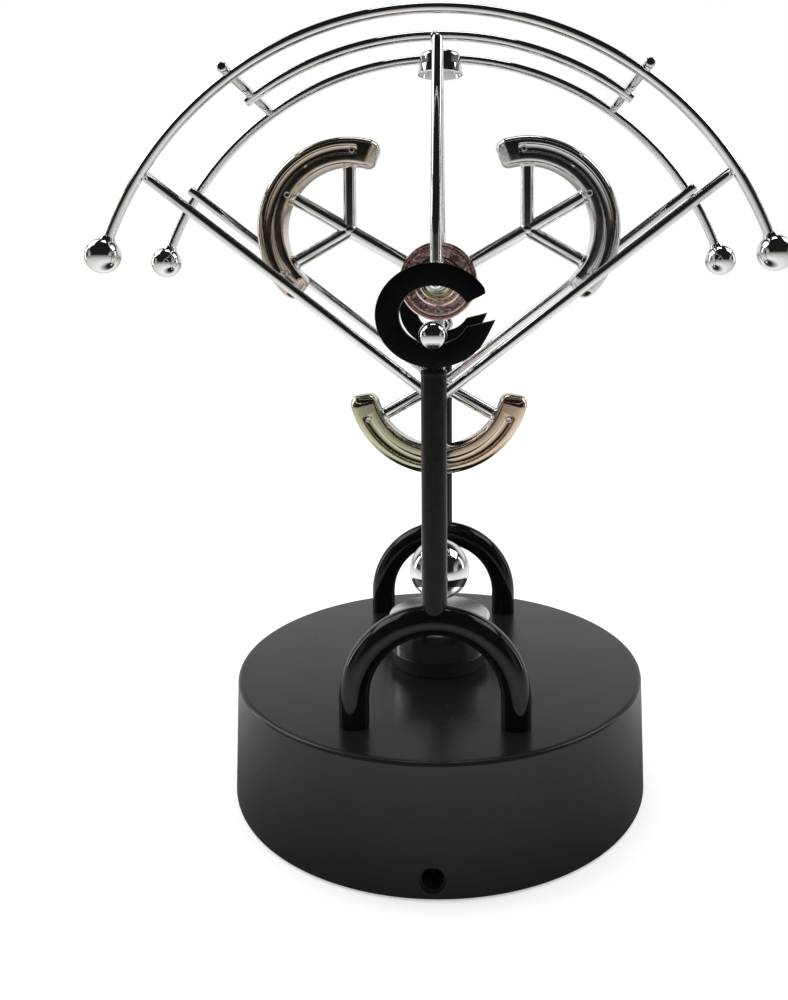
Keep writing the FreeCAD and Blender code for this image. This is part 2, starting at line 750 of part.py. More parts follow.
def frame_nodes():
    arcs = {
        "arc_front": bent_arc(-ARC_Y, ARC_END_ANGLE),
        "arc_back": bent_arc(ARC_Y, ARC_END_ANGLE),
        "arc_middle": bent_arc(0, MIDDLE_END_ANGLE),
    }
    arc_shapes = list(arcs.values())
    nodes = dict(arcs)
    nodes["end_balls"] = end_balls(arc_shapes)
    for name, side in (("left", -1), ("right", 1)):
        nodes["crossbar_" + name] = crossbar(side).cut(arc_shapes)
    u_rod = yoke()
    stubs = {"front": stub_axle(-1), "back": stub_axle(1)}
    u_rod = u_rod.cut(list(stubs.values()))
    nodes["pendulum_yoke"] = u_rod
    for y_name, side_y in (("front", -1), ("back", 1)):
        nodes["stub_axle_" + y_name] = stubs[y_name]
        for x_name, side_x in (("left", -1), ("right", 1)):
            bar = v_bar(side_x, side_y).cut(arc_shapes + [u_rod])
            nodes["v_bar_%s_%s" % (y_name, x_name)] = bar
        right = "v_bar_%s_right" % y_name
        nodes[right] = nodes[right].cut(nodes["v_bar_%s_left" % y_name])
    nodes["pivot_balls"] = pivot_balls(list(stubs.values()))
    nodes["bob"] = bob(u_rod)
    nodes["bob_magnet"] = bob_magnet()
    axle = rotor_axle()
    nodes["rotor_axle"] = axle
    nodes["axle_nuts"] = axle_nuts(axle)
    for name, side in (("front", -1), ("back", 1)):
        nodes["hanger_leg_" + name] = hanger_leg(side).cut(arc_shapes)
    nodes["balance_cup"] = balance_cup(arcs["arc_back"])
    return nodes


def rotor_nodes():
    nodes = {}
    arm = arm_at_origin()
    crescent = crescent_at_origin(arm)
    pins = pins_at_origin()
    arms = []
    all_pins = []
    for name, angle in ARM_ANGLES.items():
        placed = to_rotor(arm, angle)
        arms.append(placed)
        nodes["rotor_arm_" + name] = placed
        nodes["crescent_" + name] = to_rotor(crescent, angle)
        all_pins += [to_rotor(pin, angle) for pin in pins]
    nodes["prong_pins"] = Part.makeCompound(all_pins)
    nodes["rotor_hub"] = rotor_hub(arms)
    nodes["hub_plate_front"] = hub_plate(-1)
    nodes["hub_plate_back"] = hub_plate(1)
    nodes["hub_screws"] = hub_screws()
    nodes["bush_front"] = bush(-1)
    nodes["bush_back"] = bush(1)
    return nodes


def main():
    os.makedirs("parts", exist_ok=True)
    for group in (base_nodes(), frame_nodes(), rotor_nodes()):
        for name, shape in group.items():
            if not shape.isValid():
                print("not valid:", name)
            print("%-22s solids %2d  volume %9.1f mm3" % (name, len(shape.Solids), shape.Volume))
            shape.exportStep("parts/%s.step" % name)


main()
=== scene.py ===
"""Looks of the swinging desk toy: chrome rods and balls, a plated rotor, gloss black arches and a
satin black base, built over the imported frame. Lengths are written in millimetres and scaled once.
"""
import math

import bpy
import numpy as np
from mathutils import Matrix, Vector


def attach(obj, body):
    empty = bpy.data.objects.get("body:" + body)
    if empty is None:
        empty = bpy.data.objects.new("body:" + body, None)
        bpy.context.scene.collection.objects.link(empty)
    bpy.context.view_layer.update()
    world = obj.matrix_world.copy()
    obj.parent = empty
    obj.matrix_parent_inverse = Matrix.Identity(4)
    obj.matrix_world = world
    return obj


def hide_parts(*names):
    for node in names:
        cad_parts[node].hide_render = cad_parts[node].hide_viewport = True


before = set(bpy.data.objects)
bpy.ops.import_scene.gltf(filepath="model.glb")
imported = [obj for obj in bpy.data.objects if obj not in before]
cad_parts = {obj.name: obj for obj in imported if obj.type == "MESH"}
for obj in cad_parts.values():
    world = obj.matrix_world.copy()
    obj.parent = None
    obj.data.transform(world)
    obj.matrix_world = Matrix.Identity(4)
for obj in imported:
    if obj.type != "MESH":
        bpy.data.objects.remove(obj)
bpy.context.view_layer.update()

MM = 0.001
X, Y, Z = np.eye(3)

# ---- sizes shared with the frame, in millimetres ------------------------------------------
BASE_R, BASE_TOP_R, BASE_TOP_Z, SHELL_BOTTOM_Z = 55.0, 54.1, 30.3, 0.4
WALL, TOP_T = 2.2, 2.5
JACK_Z, JACK_HOLE_R = 4.5, 2.8
STAND_Y, ARCH_ROD_R, ARCH_HALF, ARCH_TOP_Z = 37.1, 3.55, 18.9, 55.3
POST_R, POST_TOP_Z = 2.95, 113.4
STUD_LOW_Z, STUD_R, THREAD_H, THREAD_PITCH = 21.5, 1.85, 0.15, 0.7
HOOK_X, HOOK_Z, HOOK_T, HOOK_EDGE_R = 0.1, 125.8, 4.0, 0.35
HOOK_INNER, HOOK_OUTER, HOOK_TIP = (8.0, 6.65), (13.3, 11.85), (13.95, 124.7)
PUCK_R, PUCK_LOW, PUCK_HIGH, COLLAR_R = 13.8, 34.2, 43.5, 12.6
COIL_R, COIL_BORE_R, COIL_LOW_Z, COIL_HIGH_Z = 12.4, 4.45, 14.75, 26.55
WIRE_PITCH, WIRE_H = 0.472, 0.18
FOOT_R, FOOT_H, FOOT_CIRCLE_R = 5.0, 0.9, 40.0
PIVOT_Z, STUB_R, PIVOT_BALL_R, PIVOT_BALL_Y = 121.4, 2.2, 3.2, 41.9
ROD_R, ARC_Y, ARC_R, ARC_Z = 1.25, 22.8, 85.9, 112.5
BALL_ANGLE, MIDDLE_ANGLE, BAR_ANGLE, BAR_HALF = 71.2, 36.6, 35.1, 24.8
END_BALL_R, V_ANGLE, APEX_Z = 4.3, 56.5, 104.3
YOKE_Y, BOB_R, BOB_Z = 20.42, 8.1, 55.4
ROTOR_Z, AXLE_R, AXLE_HALF = 133.9, 1.2, 23.6
LEG_R, LEG_TOP_Y, LEG_TOP_Z, LEG_KNEE_Z, LEG_BEND_R = 1.4, 2.53, 198.1, 147.0, 12.0
CUP_TOP_R, CUP_RIM_R, CUP_H, CUP_TOP_Z = 5.85, 6.6, 6.3, 200.0
HUB_R, HUB_HALF, RECESS_Y, SCREW_CIRCLE_R = 10.4, 3.4, 1.9, 7.6
ARM_R, ARM_LENGTH, KNUCKLE_R = 1.75, 27.3, 2.0
ARM_ANGLES = {"left": 150.0, "right": 30.0, "lower": 270.0}
RING_OUT, RING_IN, RING_HALF, RING_ANGLE = 24.4, 17.2, 4.2, 75.0
GROOVE_R, GROOVE_W, GROOVE_D, GROOVE_ANGLE = 20.9, 1.2, 0.8, 67.0


# ---- shapes -------------------------------------------------------------------------------
def grid_shape(points, wrap_rows=False, wrap_cols=True, close_first=False, close_last=False):
    """A shape from a (rows, columns, 3) array: a quad between each four neighbours.

    A closed end adds the mean of its row as one more point, with a fan of triangles to it.
    """
    rows, cols = points.shape[:2]
    r, c = np.meshgrid(
        np.arange(rows if wrap_rows else rows - 1),
        np.arange(cols if wrap_cols else cols - 1),
        indexing="ij",
    )
    r2, c2 = (r + 1) % rows, (c + 1) % cols
    quads = np.stack([r * cols + c, r * cols + c2, r2 * cols + c2, r2 * cols + c], -1)
    verts = [points.reshape(-1, 3)]
    faces = [quads.reshape(-1, 4)]
    ring = np.arange(cols)
    for wanted, start, forward in ((close_first, 0, False), (close_last, (rows - 1) * cols, True)):
        if wanted:
            middle = sum(len(v) for v in verts)
            verts.append(points[start // cols].mean(axis=0, keepdims=True))
            a, b = start + ring, start + (ring + 1) % cols
            pair = (a, b) if forward else (b, a)
            faces.append(np.stack([*pair, np.full(cols, middle)], -1))
    return np.concatenate(verts), faces


def joined(shapes):
    """Several shapes as one list of points and faces."""
    verts, faces, start = [], [], 0
    for points, polys in shapes:
        verts.append(points)
        faces += [f + start for f in polys]
        start += len(points)
    return np.concatenate(verts), faces


def signed_volume(shape):
    """A sixth of the sum of every corner's product with the cross product of the next two."""
    points, polys = shape
    total = 0.0
    for f in polys:
        for k in range(1, f.shape[1] - 1):
            a, b, c = points[f[:, 0]], points[f[:, k]], points[f[:, k + 1]]
            total += np.einsum("ij,ij->", a, np.cross(b, c))
    return total / 6


def outward(shape):
    """The same closed shape with its faces pointing out."""
    points, polys = shape
    if signed_volume(shape) < 0:
        polys = [f[:, ::-1] for f in polys]
    return points, polys


def rounded(corners, steps=6):
    """An outline through (a, b, radius) corners, each corner an arc that touches both its sides.

    The arc starts radius times the tangent of half the turn before the corner.
    """
    pts = [np.array(c[:2], float) for c in corners]
    line = [pts[0]]
    for i in range(1, len(pts) - 1):
        p, r = pts[i], corners[i][2]
        u, w = pts[i - 1] - p, pts[i + 1] - p
        u, w = u / np.linalg.norm(u), w / np.linalg.norm(w)
        opening = math.acos(np.clip(u @ w, -1, 1))
        if r <= 0 or opening > 3.1:
            line.append(p)
            continue
        reach = r / math.tan(opening / 2)
        centre = p + (u + w) / np.linalg.norm(u + w) * r / math.sin(opening / 2)
        a, b = p + u * reach - centre, p + w * reach - centre
        t = np.linspace(0, 1, steps + 1)[:, None]
        swing = math.pi - opening
        arc = (np.sin((1 - t) * swing) * a + np.sin(t * swing) * b) / math.sin(swing)
        line += list(centre + arc)
    line.append(pts[-1])
    return np.array(line)


def lathe(profile, centre, axis=Z, sides=96):
    """A profile of (radius, height) turned about an axis: radius times the circle, plus height.

    A profile that starts or ends on the axis is closed there with a fan.
    """
    prof = np.array(profile, float)
    first, last = prof[0, 0] < 1e-6, prof[-1, 0] < 1e-6
    tips = [prof[0, 1], prof[-1, 1]]
    body = prof[(1 if first else 0):(len(prof) - 1 if last else len(prof))]
    side = Y if abs(axis @ Y) < 0.5 else X
    other = np.cross(axis, side)
    a = np.linspace(0, 2 * np.pi, sides, endpoint=False)
    circle = np.cos(a)[:, None] * side + np.sin(a)[:, None] * other
    grid = centre + body[:, 0, None, None] * circle + body[:, 1, None, None] * axis
    points, faces = grid_shape(grid, not (first or last), True, first, last)
    fan = len(grid) * sides
    for wanted, tip in ((first, tips[0]), (last, tips[1])):
        if wanted:
            points[fan] = centre + tip * axis
            fan += 1
    return outward((points, faces))


def tube(path, radius, side, edge=0.3, sides=48):
    """A round bar along a flat path: the path plus radius times the circle of side and normal.

    Each end narrows over a quarter circle of the edge radius and closes with a fan.
    """
    path = np.array(path, float)
    tangent = np.gradient(path, axis=0)
    tangent[0], tangent[-1] = path[1] - path[0], path[-1] - path[-2]
    tangent /= np.linalg.norm(tangent, axis=1)[:, None]
    q = np.linspace(np.pi / 2, 0, 7)
    inset, narrow = edge * (1 - np.sin(q)), radius - edge + edge * np.cos(q)
    centres = np.concatenate([
        path[0] + inset[:, None] * tangent[0],
        path[1:-1],
        (path[-1] - inset[:, None] * tangent[-1])[::-1],
    ])
    along = np.concatenate([
        np.repeat(tangent[:1], 7, 0), tangent[1:-1], np.repeat(tangent[-1:], 7, 0)
    ])
    radii = np.concatenate([narrow, np.full(len(path) - 2, radius), narrow[::-1]])
    normal = np.cross(along, side)
    a = np.linspace(0, 2 * np.pi, sides, endpoint=False)
    grid = centres[:, None] + radii[:, None, None] * (
        np.cos(a)[None, :, None] * side + np.sin(a)[None, :, None] * normal[:, None]
    )
    return outward(grid_shape(grid, False, True, True, True))


def straight(a, b, count=3):
    """Points evenly along a line: the start plus a growing share of the way to the end."""
    a, b = np.array(a, float), np.array(b, float)
    return a + np.linspace(0, 1, count)[:, None] * (b - a)


def ball(centre, radius, axis=Z, rings=48, sides=96):
    """A sphere with its poles on the given axis: radius times (sine, cosine) of the latitude."""
    t = np.linspace(0, np.pi, rings)
    profile = np.stack([radius * np.sin(t), -radius * np.cos(t)], -1)
    profile[0, 0] = profile[-1, 0] = 0.0
    return lathe(profile, np.array(centre, float), axis, sides)


def bead(centre, size, axis, seed):
    """A small drop of braze: a flattened sphere whose radius wavers with two slow sines."""
    t = np.linspace(0, np.pi, 14)[1:-1, None]
    a = np.linspace(0, 2 * np.pi, 28, endpoint=False)[None]
    wobble = 1 + 0.07 * np.sin(3 * a + seed) * np.sin(2 * t) + 0.05 * np.sin(5 * t + 2 * a + seed)
    side = Y if abs(axis @ Y) < 0.5 else X
    other = np.cross(axis, side)
    grid = np.array(centre, float) + size * wobble[..., None] * (
        0.55 * np.cos(t)[..., None] * axis
        + (np.sin(t) * np.cos(a))[..., None] * side
        + (np.sin(t) * np.sin(a))[..., None] * other
    )
    return outward(grid_shape(grid, False, True, True, True))


def circle_path(centre, radius, start, end, y=0.0, count=161):
    """Part of a circle in an upright plane, its angle counted from straight up towards +X."""
    a = np.radians(np.linspace(start, end, count))
    return np.stack([centre[0] + radius * np.sin(a), np.full(count, y), centre[1] + radius * np.cos(a)], -1)


def on_arc(angle, y=0.0, radius=ARC_R):
    """A point on a long arc: its centre plus radius times the angle's sine along X and cosine up."""
    a = math.radians(angle)
    return np.array([radius * math.sin(a), y, ARC_Z + radius * math.cos(a)])


def turned(shape, angle):
    """A rotor piece made along +X from the rotor's axis, turned to its arm's angle and lifted."""
    points, faces = shape
    a = math.radians(angle)
    x, z = points[:, 0], points[:, 2]
    moved = np.stack([
        x * math.cos(a) - z * math.sin(a), points[:, 1], x * math.sin(a) + z * math.cos(a) + ROTOR_Z
    ], -1)
    return outward((moved, faces))


# ---- materials ----------------------------------------------------------------------------
def new_material(name):
    """An empty material, with its nodes, its shader and object coordinates at hand."""
    m = bpy.data.materials.new(name)
    m.use_nodes = True
    nodes, links = m.node_tree.nodes, m.node_tree.links
    shader = nodes["Principled BSDF"]
    place = nodes.new("ShaderNodeTexCoord").outputs["Object"]
    return m, nodes, links, shader, place


def noise(nodes, links, place, scale, detail=3.0, stretch=None):
    """Noise on object coordinates, its scale in features per metre."""
    if stretch is not None:
        mapping = nodes.new("ShaderNodeMapping")
        mapping.inputs["Scale"].default_value = stretch
        links.new(place, mapping.inputs["Vector"])
        place = mapping.outputs["Vector"]
    n = nodes.new("ShaderNodeTexNoise")
    n.inputs["Scale"].default_value = scale
    n.inputs["Detail"].default_value = detail
    links.new(place, n.inputs["Vector"])
    return n.outputs["Fac"]


def spread(nodes, links, value, low, high, start=0.3, stop=0.7):
    """A value stretched from one range to another."""
    r = nodes.new("ShaderNodeMapRange")
    for key, v in (("From Min", start), ("From Max", stop), ("To Min", low), ("To Max", high)):
        r.inputs[key].default_value = v
    links.new(value, r.inputs["Value"])
    return r.outputs["Result"]


def ramp(nodes, links, value, stops):
    """Colours along a value."""
    r = nodes.new("ShaderNodeValToRGB")
    first, last = r.color_ramp.elements
    first.position, first.color = stops[0][0], (*stops[0][1], 1)
    last.position, last.color = stops[-1][0], (*stops[-1][1], 1)
    for at, colour in stops[1:-1]:
        r.color_ramp.elements.new(at).color = (*colour, 1)
    links.new(value, r.inputs["Fac"])
    return r.outputs["Color"]


def bump(nodes, links, shader, height, strength, distance):
    """A height that tilts the shader's surface a little."""
    b = nodes.new("ShaderNodeBump")
    b.inputs["Strength"].default_value = strength
    b.inputs["Distance"].default_value = distance
    links.new(height, b.inputs["Height"])
    links.new(b.outputs["Normal"], shader.inputs["Normal"])


def metal(name, dark, light, rough=(0.03, 0.08), scale=220.0, grain=2600.0, strength=0.012):
    """Polished metal: slow colour drift, smudges in the roughness and a very fine grain."""
    m, nodes, links, shader, place = new_material(name)
    shader.inputs["Metallic"].default_value = 1.0
    slow = noise(nodes, links, place, scale, 2.0)
    links.new(ramp(nodes, links, slow, [(0.3, dark), (0.7, light)]), shader.inputs["Base Color"])
    smudge = noise(nodes, links, place, scale * 1.7, 4.0)
    links.new(spread(nodes, links, smudge, *rough), shader.inputs["Roughness"])
    bump(nodes, links, shader, noise(nodes, links, place, grain, 2.0), strength, 0.00002)
    return m


def plastic(
    name, dark, light, rough, grain, strength, specular=0.5, coat=0.0, scale=90.0, stretch=None
):
    """Moulded or lacquered skin: slight colour drift, uneven gloss and a fine grain."""
    m, nodes, links, shader, place = new_material(name)
    slow = noise(nodes, links, place, scale, 3.0)
    links.new(ramp(nodes, links, slow, [(0.3, dark), (0.7, light)]), shader.inputs["Base Color"])
    patch = noise(nodes, links, place, scale * 2.3, 4.0, stretch)
    links.new(spread(nodes, links, patch, *rough), shader.inputs["Roughness"])
    shader.inputs["Specular IOR Level"].default_value = specular
    shader.inputs["Coat Weight"].default_value = coat
    shader.inputs["Coat Roughness"].default_value = 0.04
    bump(nodes, links, shader, noise(nodes, links, place, grain, 3.0, stretch), strength, 0.00004)
    return m


def plated(name, stops, rough=(0.05, 0.12), across=16.0, ripple=(260.0, 0.25, 0.00012)):
    """Plated plastic: a tint that drifts across the piece along X, with soft ripples in the skin."""
    m, nodes, links, shader, place = new_material(name)
    shader.inputs["Metallic"].default_value = 1.0
    split = nodes.new("ShaderNodeSeparateXYZ")
    links.new(place, split.inputs["Vector"])
    cloud = noise(nodes, links, place, 120.0, 3.0)
    wander = nodes.new("ShaderNodeMath")
    wander.operation = "MULTIPLY_ADD"
    wander.inputs[1].default_value = across
    links.new(split.outputs["X"], wander.inputs[0])
    links.new(spread(nodes, links, cloud, 0.25, 0.75, 0.2, 0.8), wander.inputs[2])
    links.new(ramp(nodes, links, wander.outputs["Value"], stops), shader.inputs["Base Color"])
    smudge = noise(nodes, links, place, 400.0, 4.0)
    links.new(spread(nodes, links, smudge, *rough), shader.inputs["Roughness"])
    bump(nodes, links, shader, noise(nodes, links, place, ripple[0], 2.0), ripple[1], ripple[2])
    return m


def drum_metal():
    """Mirror chrome round the drum's side, with its flat top turned to a soft satin."""
    m = metal("drum_chrome", (0.74, 0.75, 0.76), (0.86, 0.86, 0.86))
    nodes, links = m.node_tree.nodes, m.node_tree.links
    shader = nodes["Principled BSDF"]
    split = nodes.new("ShaderNodeSeparateXYZ")
    links.new(nodes.new("ShaderNodeTexCoord").outputs["Object"], split.inputs["Vector"])
    below, top = (PUCK_HIGH - 1.0) * MM, (PUCK_HIGH - 0.2) * MM
    satin = spread(nodes, links, split.outputs["Z"], 0.06, 0.24, below, top)
    links.new(satin, shader.inputs["Roughness"])
    return m


chrome = metal("mirror_chrome", (0.76, 0.77, 0.78), (0.86, 0.86, 0.86))
ball_chrome = metal("ball_chrome", (0.8, 0.8, 0.8), (0.88, 0.88, 0.88), (0.015, 0.04), 120.0)
steel = metal("plain_steel", (0.4, 0.4, 0.41), (0.58, 0.58, 0.58), (0.2, 0.38), 500.0, 3000.0, 0.15)
copper = metal("enamelled_copper", (0.5, 0.17, 0.05), (0.72, 0.3, 0.1), (0.18, 0.3), 500.0)
brass = metal("polished_bush", (0.6, 0.55, 0.38), (0.8, 0.76, 0.58), (0.05, 0.12), 380.0)
plate_left = plated("plated_brown", [
    (0.0, (0.62, 0.54, 0.45)), (0.5, (0.78, 0.72, 0.64)), (1.0, (0.74, 0.7, 0.65))
])
plate_right = plated("plated_black", [(0.0, (0.6, 0.6, 0.6)), (1.0, (0.72, 0.72, 0.7))])
plate_lower = plated("plated_gold", [
    (0.1, (0.54, 0.54, 0.35)), (0.42, (0.6, 0.58, 0.45)),
    (0.56, (0.76, 0.58, 0.46)), (0.95, (0.78, 0.65, 0.48))
])
plate_hub = plated("plated_rose", [
    (0.2, (0.72, 0.5, 0.5)), (0.5, (0.86, 0.62, 0.62)), (0.85, (0.8, 0.64, 0.56))
], (0.1, 0.22), 20.0, (520.0, 0.5, 0.0003))
gloss_black = plastic(
    "gloss_black", (0.003, 0.003, 0.003), (0.005, 0.005, 0.005), (0.07, 0.15), 900.0, 0.05,
    specular=0.24, coat=0.15
)
post_black = plastic(
    "post_black", (0.0015, 0.002, 0.002), (0.006, 0.006, 0.005), (0.16, 0.36), 900.0, 0.35,
    specular=0.22, scale=500.0, stretch=(1, 1, 0.08)
)
hook_black = plastic(
    "hook_black", (0.0008, 0.001, 0.001), (0.0015, 0.002, 0.002), (0.3, 0.42), 1500.0, 0.12,
    specular=0.12
)
base_black = plastic(
    "satin_base", (0.009, 0.0094, 0.0092), (0.013, 0.013, 0.0127), (0.24, 0.28), 5200.0, 0.1,
    specular=0.38, scale=40.0
)
cover_black = plastic("matte_black", (0.012, 0.012, 0.012), (0.02, 0.02, 0.02), (0.45, 0.6), 3000.0, 0.3)
rubber = plastic("rubber", (0.012, 0.012, 0.012), (0.022, 0.022, 0.022), (0.75, 0.9), 2200.0, 0.5, 0.3)
board_green = plastic("board_lacquer", (0.012, 0.13, 0.04), (0.02, 0.2, 0.07), (0.2, 0.35), 900.0, 0.2)
component = plastic("component_black", (0.012, 0.012, 0.014), (0.03, 0.03, 0.034), (0.3, 0.45), 1600.0, 0.2)


# ---- placing pieces -----------------------------------------------------------------------
def piece(name, shapes, material, body, replaces=(), sharp=32.0):
    """One object from closed shapes in millimetres, riding on a body and standing for its nodes."""
    points, faces = joined(shapes)
    mesh = bpy.data.meshes.new(name)
    mesh.from_pydata((points * MM).tolist(), [], [f for block in faces for f in block.tolist()])
    mesh.validate()
    mesh.shade_smooth()
    mesh.set_sharp_from_angle(angle=math.radians(sharp))
    mesh.materials.append(material)
    ob = bpy.data.objects.new(name, mesh)
    bpy.context.scene.collection.objects.link(ob)
    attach(ob, body)
    if replaces:
        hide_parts(*replaces)
    return ob


def finish_node(material, *names):
    """A frame node that stays as it is, with a better material."""
    for n in names:
        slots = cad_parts[n].data.materials
        slots.clear()
        slots.append(material)


# ---- base ---------------------------------------------------------------------------------
def shell_shape():
    """The drum: a wall and lid profile turned about Z, with a window in the front wall.

    The window is filled by a sheet whose rows go from the window's rim to the inlet hole's edge,
    through the wall, and back out to the window's rim on the inner side.
    """
    outer = rounded([
        (0, BASE_TOP_Z, 0), (BASE_TOP_R, BASE_TOP_Z, 1.0), (BASE_R, SHELL_BOTTOM_Z, 0.35),
        (BASE_R - WALL, SHELL_BOTTOM_Z, 0.2), (BASE_TOP_R - WALL, BASE_TOP_Z - TOP_T, 0.6),
        (0, BASE_TOP_Z - TOP_T, 0),
    ], 8)
    slope = (BASE_TOP_R - BASE_R) / (BASE_TOP_Z - SHELL_BOTTOM_Z)

    def outside(z):
        """The outer wall's radius at a height, which falls evenly towards the lid."""
        return BASE_R + slope * (z - SHELL_BOTTOM_Z)

    # the window's rows, evenly spaced about the inlet, and wider ones above them
    rows_z = np.linspace(9.2, 1.2, 11)
    tall_z = np.array([27.5, 24.0, 20.5, 17.0, 13.5, 11.0])
    wall_z = np.concatenate([tall_z, rows_z])
    out_rows = np.stack([outside(wall_z), wall_z], -1)
    in_rows = np.stack([outside(wall_z) - WALL, wall_z], -1)[::-1]
    # where the outline comes down the outer wall, and where it goes back up the inner one
    high = outer[:, 1] > BASE_TOP_Z / 2
    split, back = 1 + np.flatnonzero(high[1:] != high[:-1])
    lid_r = np.linspace(0, BASE_TOP_R - 1.6, 24)[1:]
    lid = np.stack([lid_r, np.full(23, BASE_TOP_Z)], -1)
    prof = np.concatenate([
        outer[:1], lid, outer[1:split], out_rows, outer[split:back], in_rows, outer[back:]
    ])
    sides = 360
    a = np.linspace(0, 2 * np.pi, sides, endpoint=False) - np.pi / 2
    circle = np.stack([np.cos(a), np.sin(a), np.zeros(sides)], -1)
    grid = prof[1:-1, 0, None, None] * circle + prof[1:-1, 1, None, None] * Z
    first_out = 23 + (split - 1) + len(tall_z)
    first_in = 23 + (split - 1) + len(wall_z) + (back - split)
    n, half = len(rows_z), 5
    points, faces = grid_shape(grid, False, True, True, True)
    points[len(grid) * sides] = Z * BASE_TOP_Z
    points[len(grid) * sides + 1] = Z * (BASE_TOP_Z - TOP_T)
    quads = faces[0].reshape(len(grid) - 1, sides, 4)
    keep = np.ones(quads.shape[:2], bool)
    window = np.r_[sides - half:sides, 0:half]
    keep[first_out:first_out + n - 1, window] = False
    keep[first_in:first_in + n - 1, window] = False
    faces[0] = quads[keep]
    # once round the window's rim: top, right, bottom, left
    top = [(0, c) for c in range(-half, half)]
    right = [(r, half) for r in range(0, n - 1)]
    bottom = [(n - 1, c) for c in range(half, -half, -1)]
    left = [(r, -half) for r in range(n - 1, 0, -1)]
    rim = np.array(top + right + bottom + left)
    out_rim = grid[first_out + rim[:, 0], rim[:, 1] % sides]
    in_rim = grid[first_in + (n - 1 - rim[:, 0]), rim[:, 1] % sides]
    t = np.arctan2(out_rim[:, 2] - JACK_Z, out_rim[:, 0])
    ring = np.stack([np.cos(t), np.zeros(len(t)), np.sin(t)], -1)

    def hole(radius, depth, inner=False):
        """A ring about the inlet's axis, lying on the wall's face and then moved inward."""
        flat = JACK_Z * Z + radius * ring
        r = outside(flat[:, 2]) - (WALL if inner else 0)
        flat[:, 1] = -np.sqrt(r ** 2 - flat[:, 0] ** 2) + depth
        return flat

    lip = 0.25
    q = np.linspace(0, np.pi / 2, 5)
    rows = [out_rim * (1 - s) + hole(JACK_HOLE_R + lip, 0) * s for s in (0.0, 0.3, 0.6, 0.85)]
    rows += [hole(JACK_HOLE_R + lip - lip * math.sin(k), lip - lip * math.cos(k)) for k in q]
    rows += [hole(JACK_HOLE_R, 0, True)]
    rows += [hole(JACK_HOLE_R + 1.0, 0, True) * (1 - s) + in_rim * s for s in (0.0, 0.5, 1.0)]
    rows = np.array(rows)
    index = len(points) + np.arange(rows[1:-1].size // 3).reshape(-1, len(rim))
    edge_out = (first_out + rim[:, 0]) * sides + rim[:, 1] % sides
    edge_in = (first_in + n - 1 - rim[:, 0]) * sides + rim[:, 1] % sides
    index = np.concatenate([edge_out[None], index, edge_in[None]])
    beside = np.roll(index, -1, axis=1)
    faces[0] = np.concatenate([
        faces[0], np.stack([index[:-1], beside[:-1], beside[1:], index[1:]], -1).reshape(-1, 4)
    ])
    points = np.concatenate([points, rows[1:-1].reshape(-1, 3)])
    # the wall's own points inside the window belong to no face now, so they are dropped
    used, packed = np.unique(np.concatenate([f.ravel() for f in faces]), return_inverse=True)
    cuts = np.cumsum([f.size for f in faces])[:-1]
    faces = [part.reshape(f.shape) for part, f in zip(np.split(packed.ravel(), cuts), faces)]
    return outward((points[used], faces))


def arch_shape(y):
    """A rod up one leg, over half a circle and down the other, with a thread under each foot."""
    spring = ARCH_TOP_Z - ARCH_HALF
    path = np.concatenate([
        straight((-ARCH_HALF, y, BASE_TOP_Z), (-ARCH_HALF, y, spring), 6)[:-1],
        circle_path((0, spring), ARCH_HALF, -90, 90, y, 121),
        straight((ARCH_HALF, y, spring), (ARCH_HALF, y, BASE_TOP_Z), 6)[1:],
    ])
    z = np.linspace(STUD_LOW_Z, BASE_TOP_Z, 120)
    wave = STUD_R + THREAD_H * np.cos(2 * np.pi * (z - STUD_LOW_Z) / THREAD_PITCH)
    screw = np.concatenate([[[0, STUD_LOW_Z]], np.stack([wave, z], -1), [[0, BASE_TOP_Z]]])
    studs = [lathe(screw, np.array([s * ARCH_HALF, y, 0.0]), Z, 32) for s in (-1, 1)]
    return [tube(path, ARCH_ROD_R, Y, 0.25, 64)] + studs


def post_shape(y):
    """A turned rod with its foot sunk in the arch's crown, a soft top edge and a narrow neck."""
    profile = rounded([
        (0, ARCH_TOP_Z - 0.8, 0), (POST_R, ARCH_TOP_Z - 0.8, 0.1), (POST_R, POST_TOP_Z - 1.15, 0.1),
        (POST_R + 0.12, POST_TOP_Z - 1.0, 0.1), (POST_R + 0.12, POST_TOP_Z, 0.55),
        (POST_R - 0.75, POST_TOP_Z + 0.05, 0.1), (POST_R - 0.75, POST_TOP_Z + 1.6, 0.1),
        (0, POST_TOP_Z + 1.6, 0),
    ], 5)
    tall = np.linspace(ARCH_TOP_Z, POST_TOP_Z - 2, 12)
    profile = np.insert(profile, 1 + 6, np.stack([np.full(12, POST_R), tall], -1), axis=0)
    return [lathe(profile, np.array([0.0, y, 0.0]), Z, 64)]


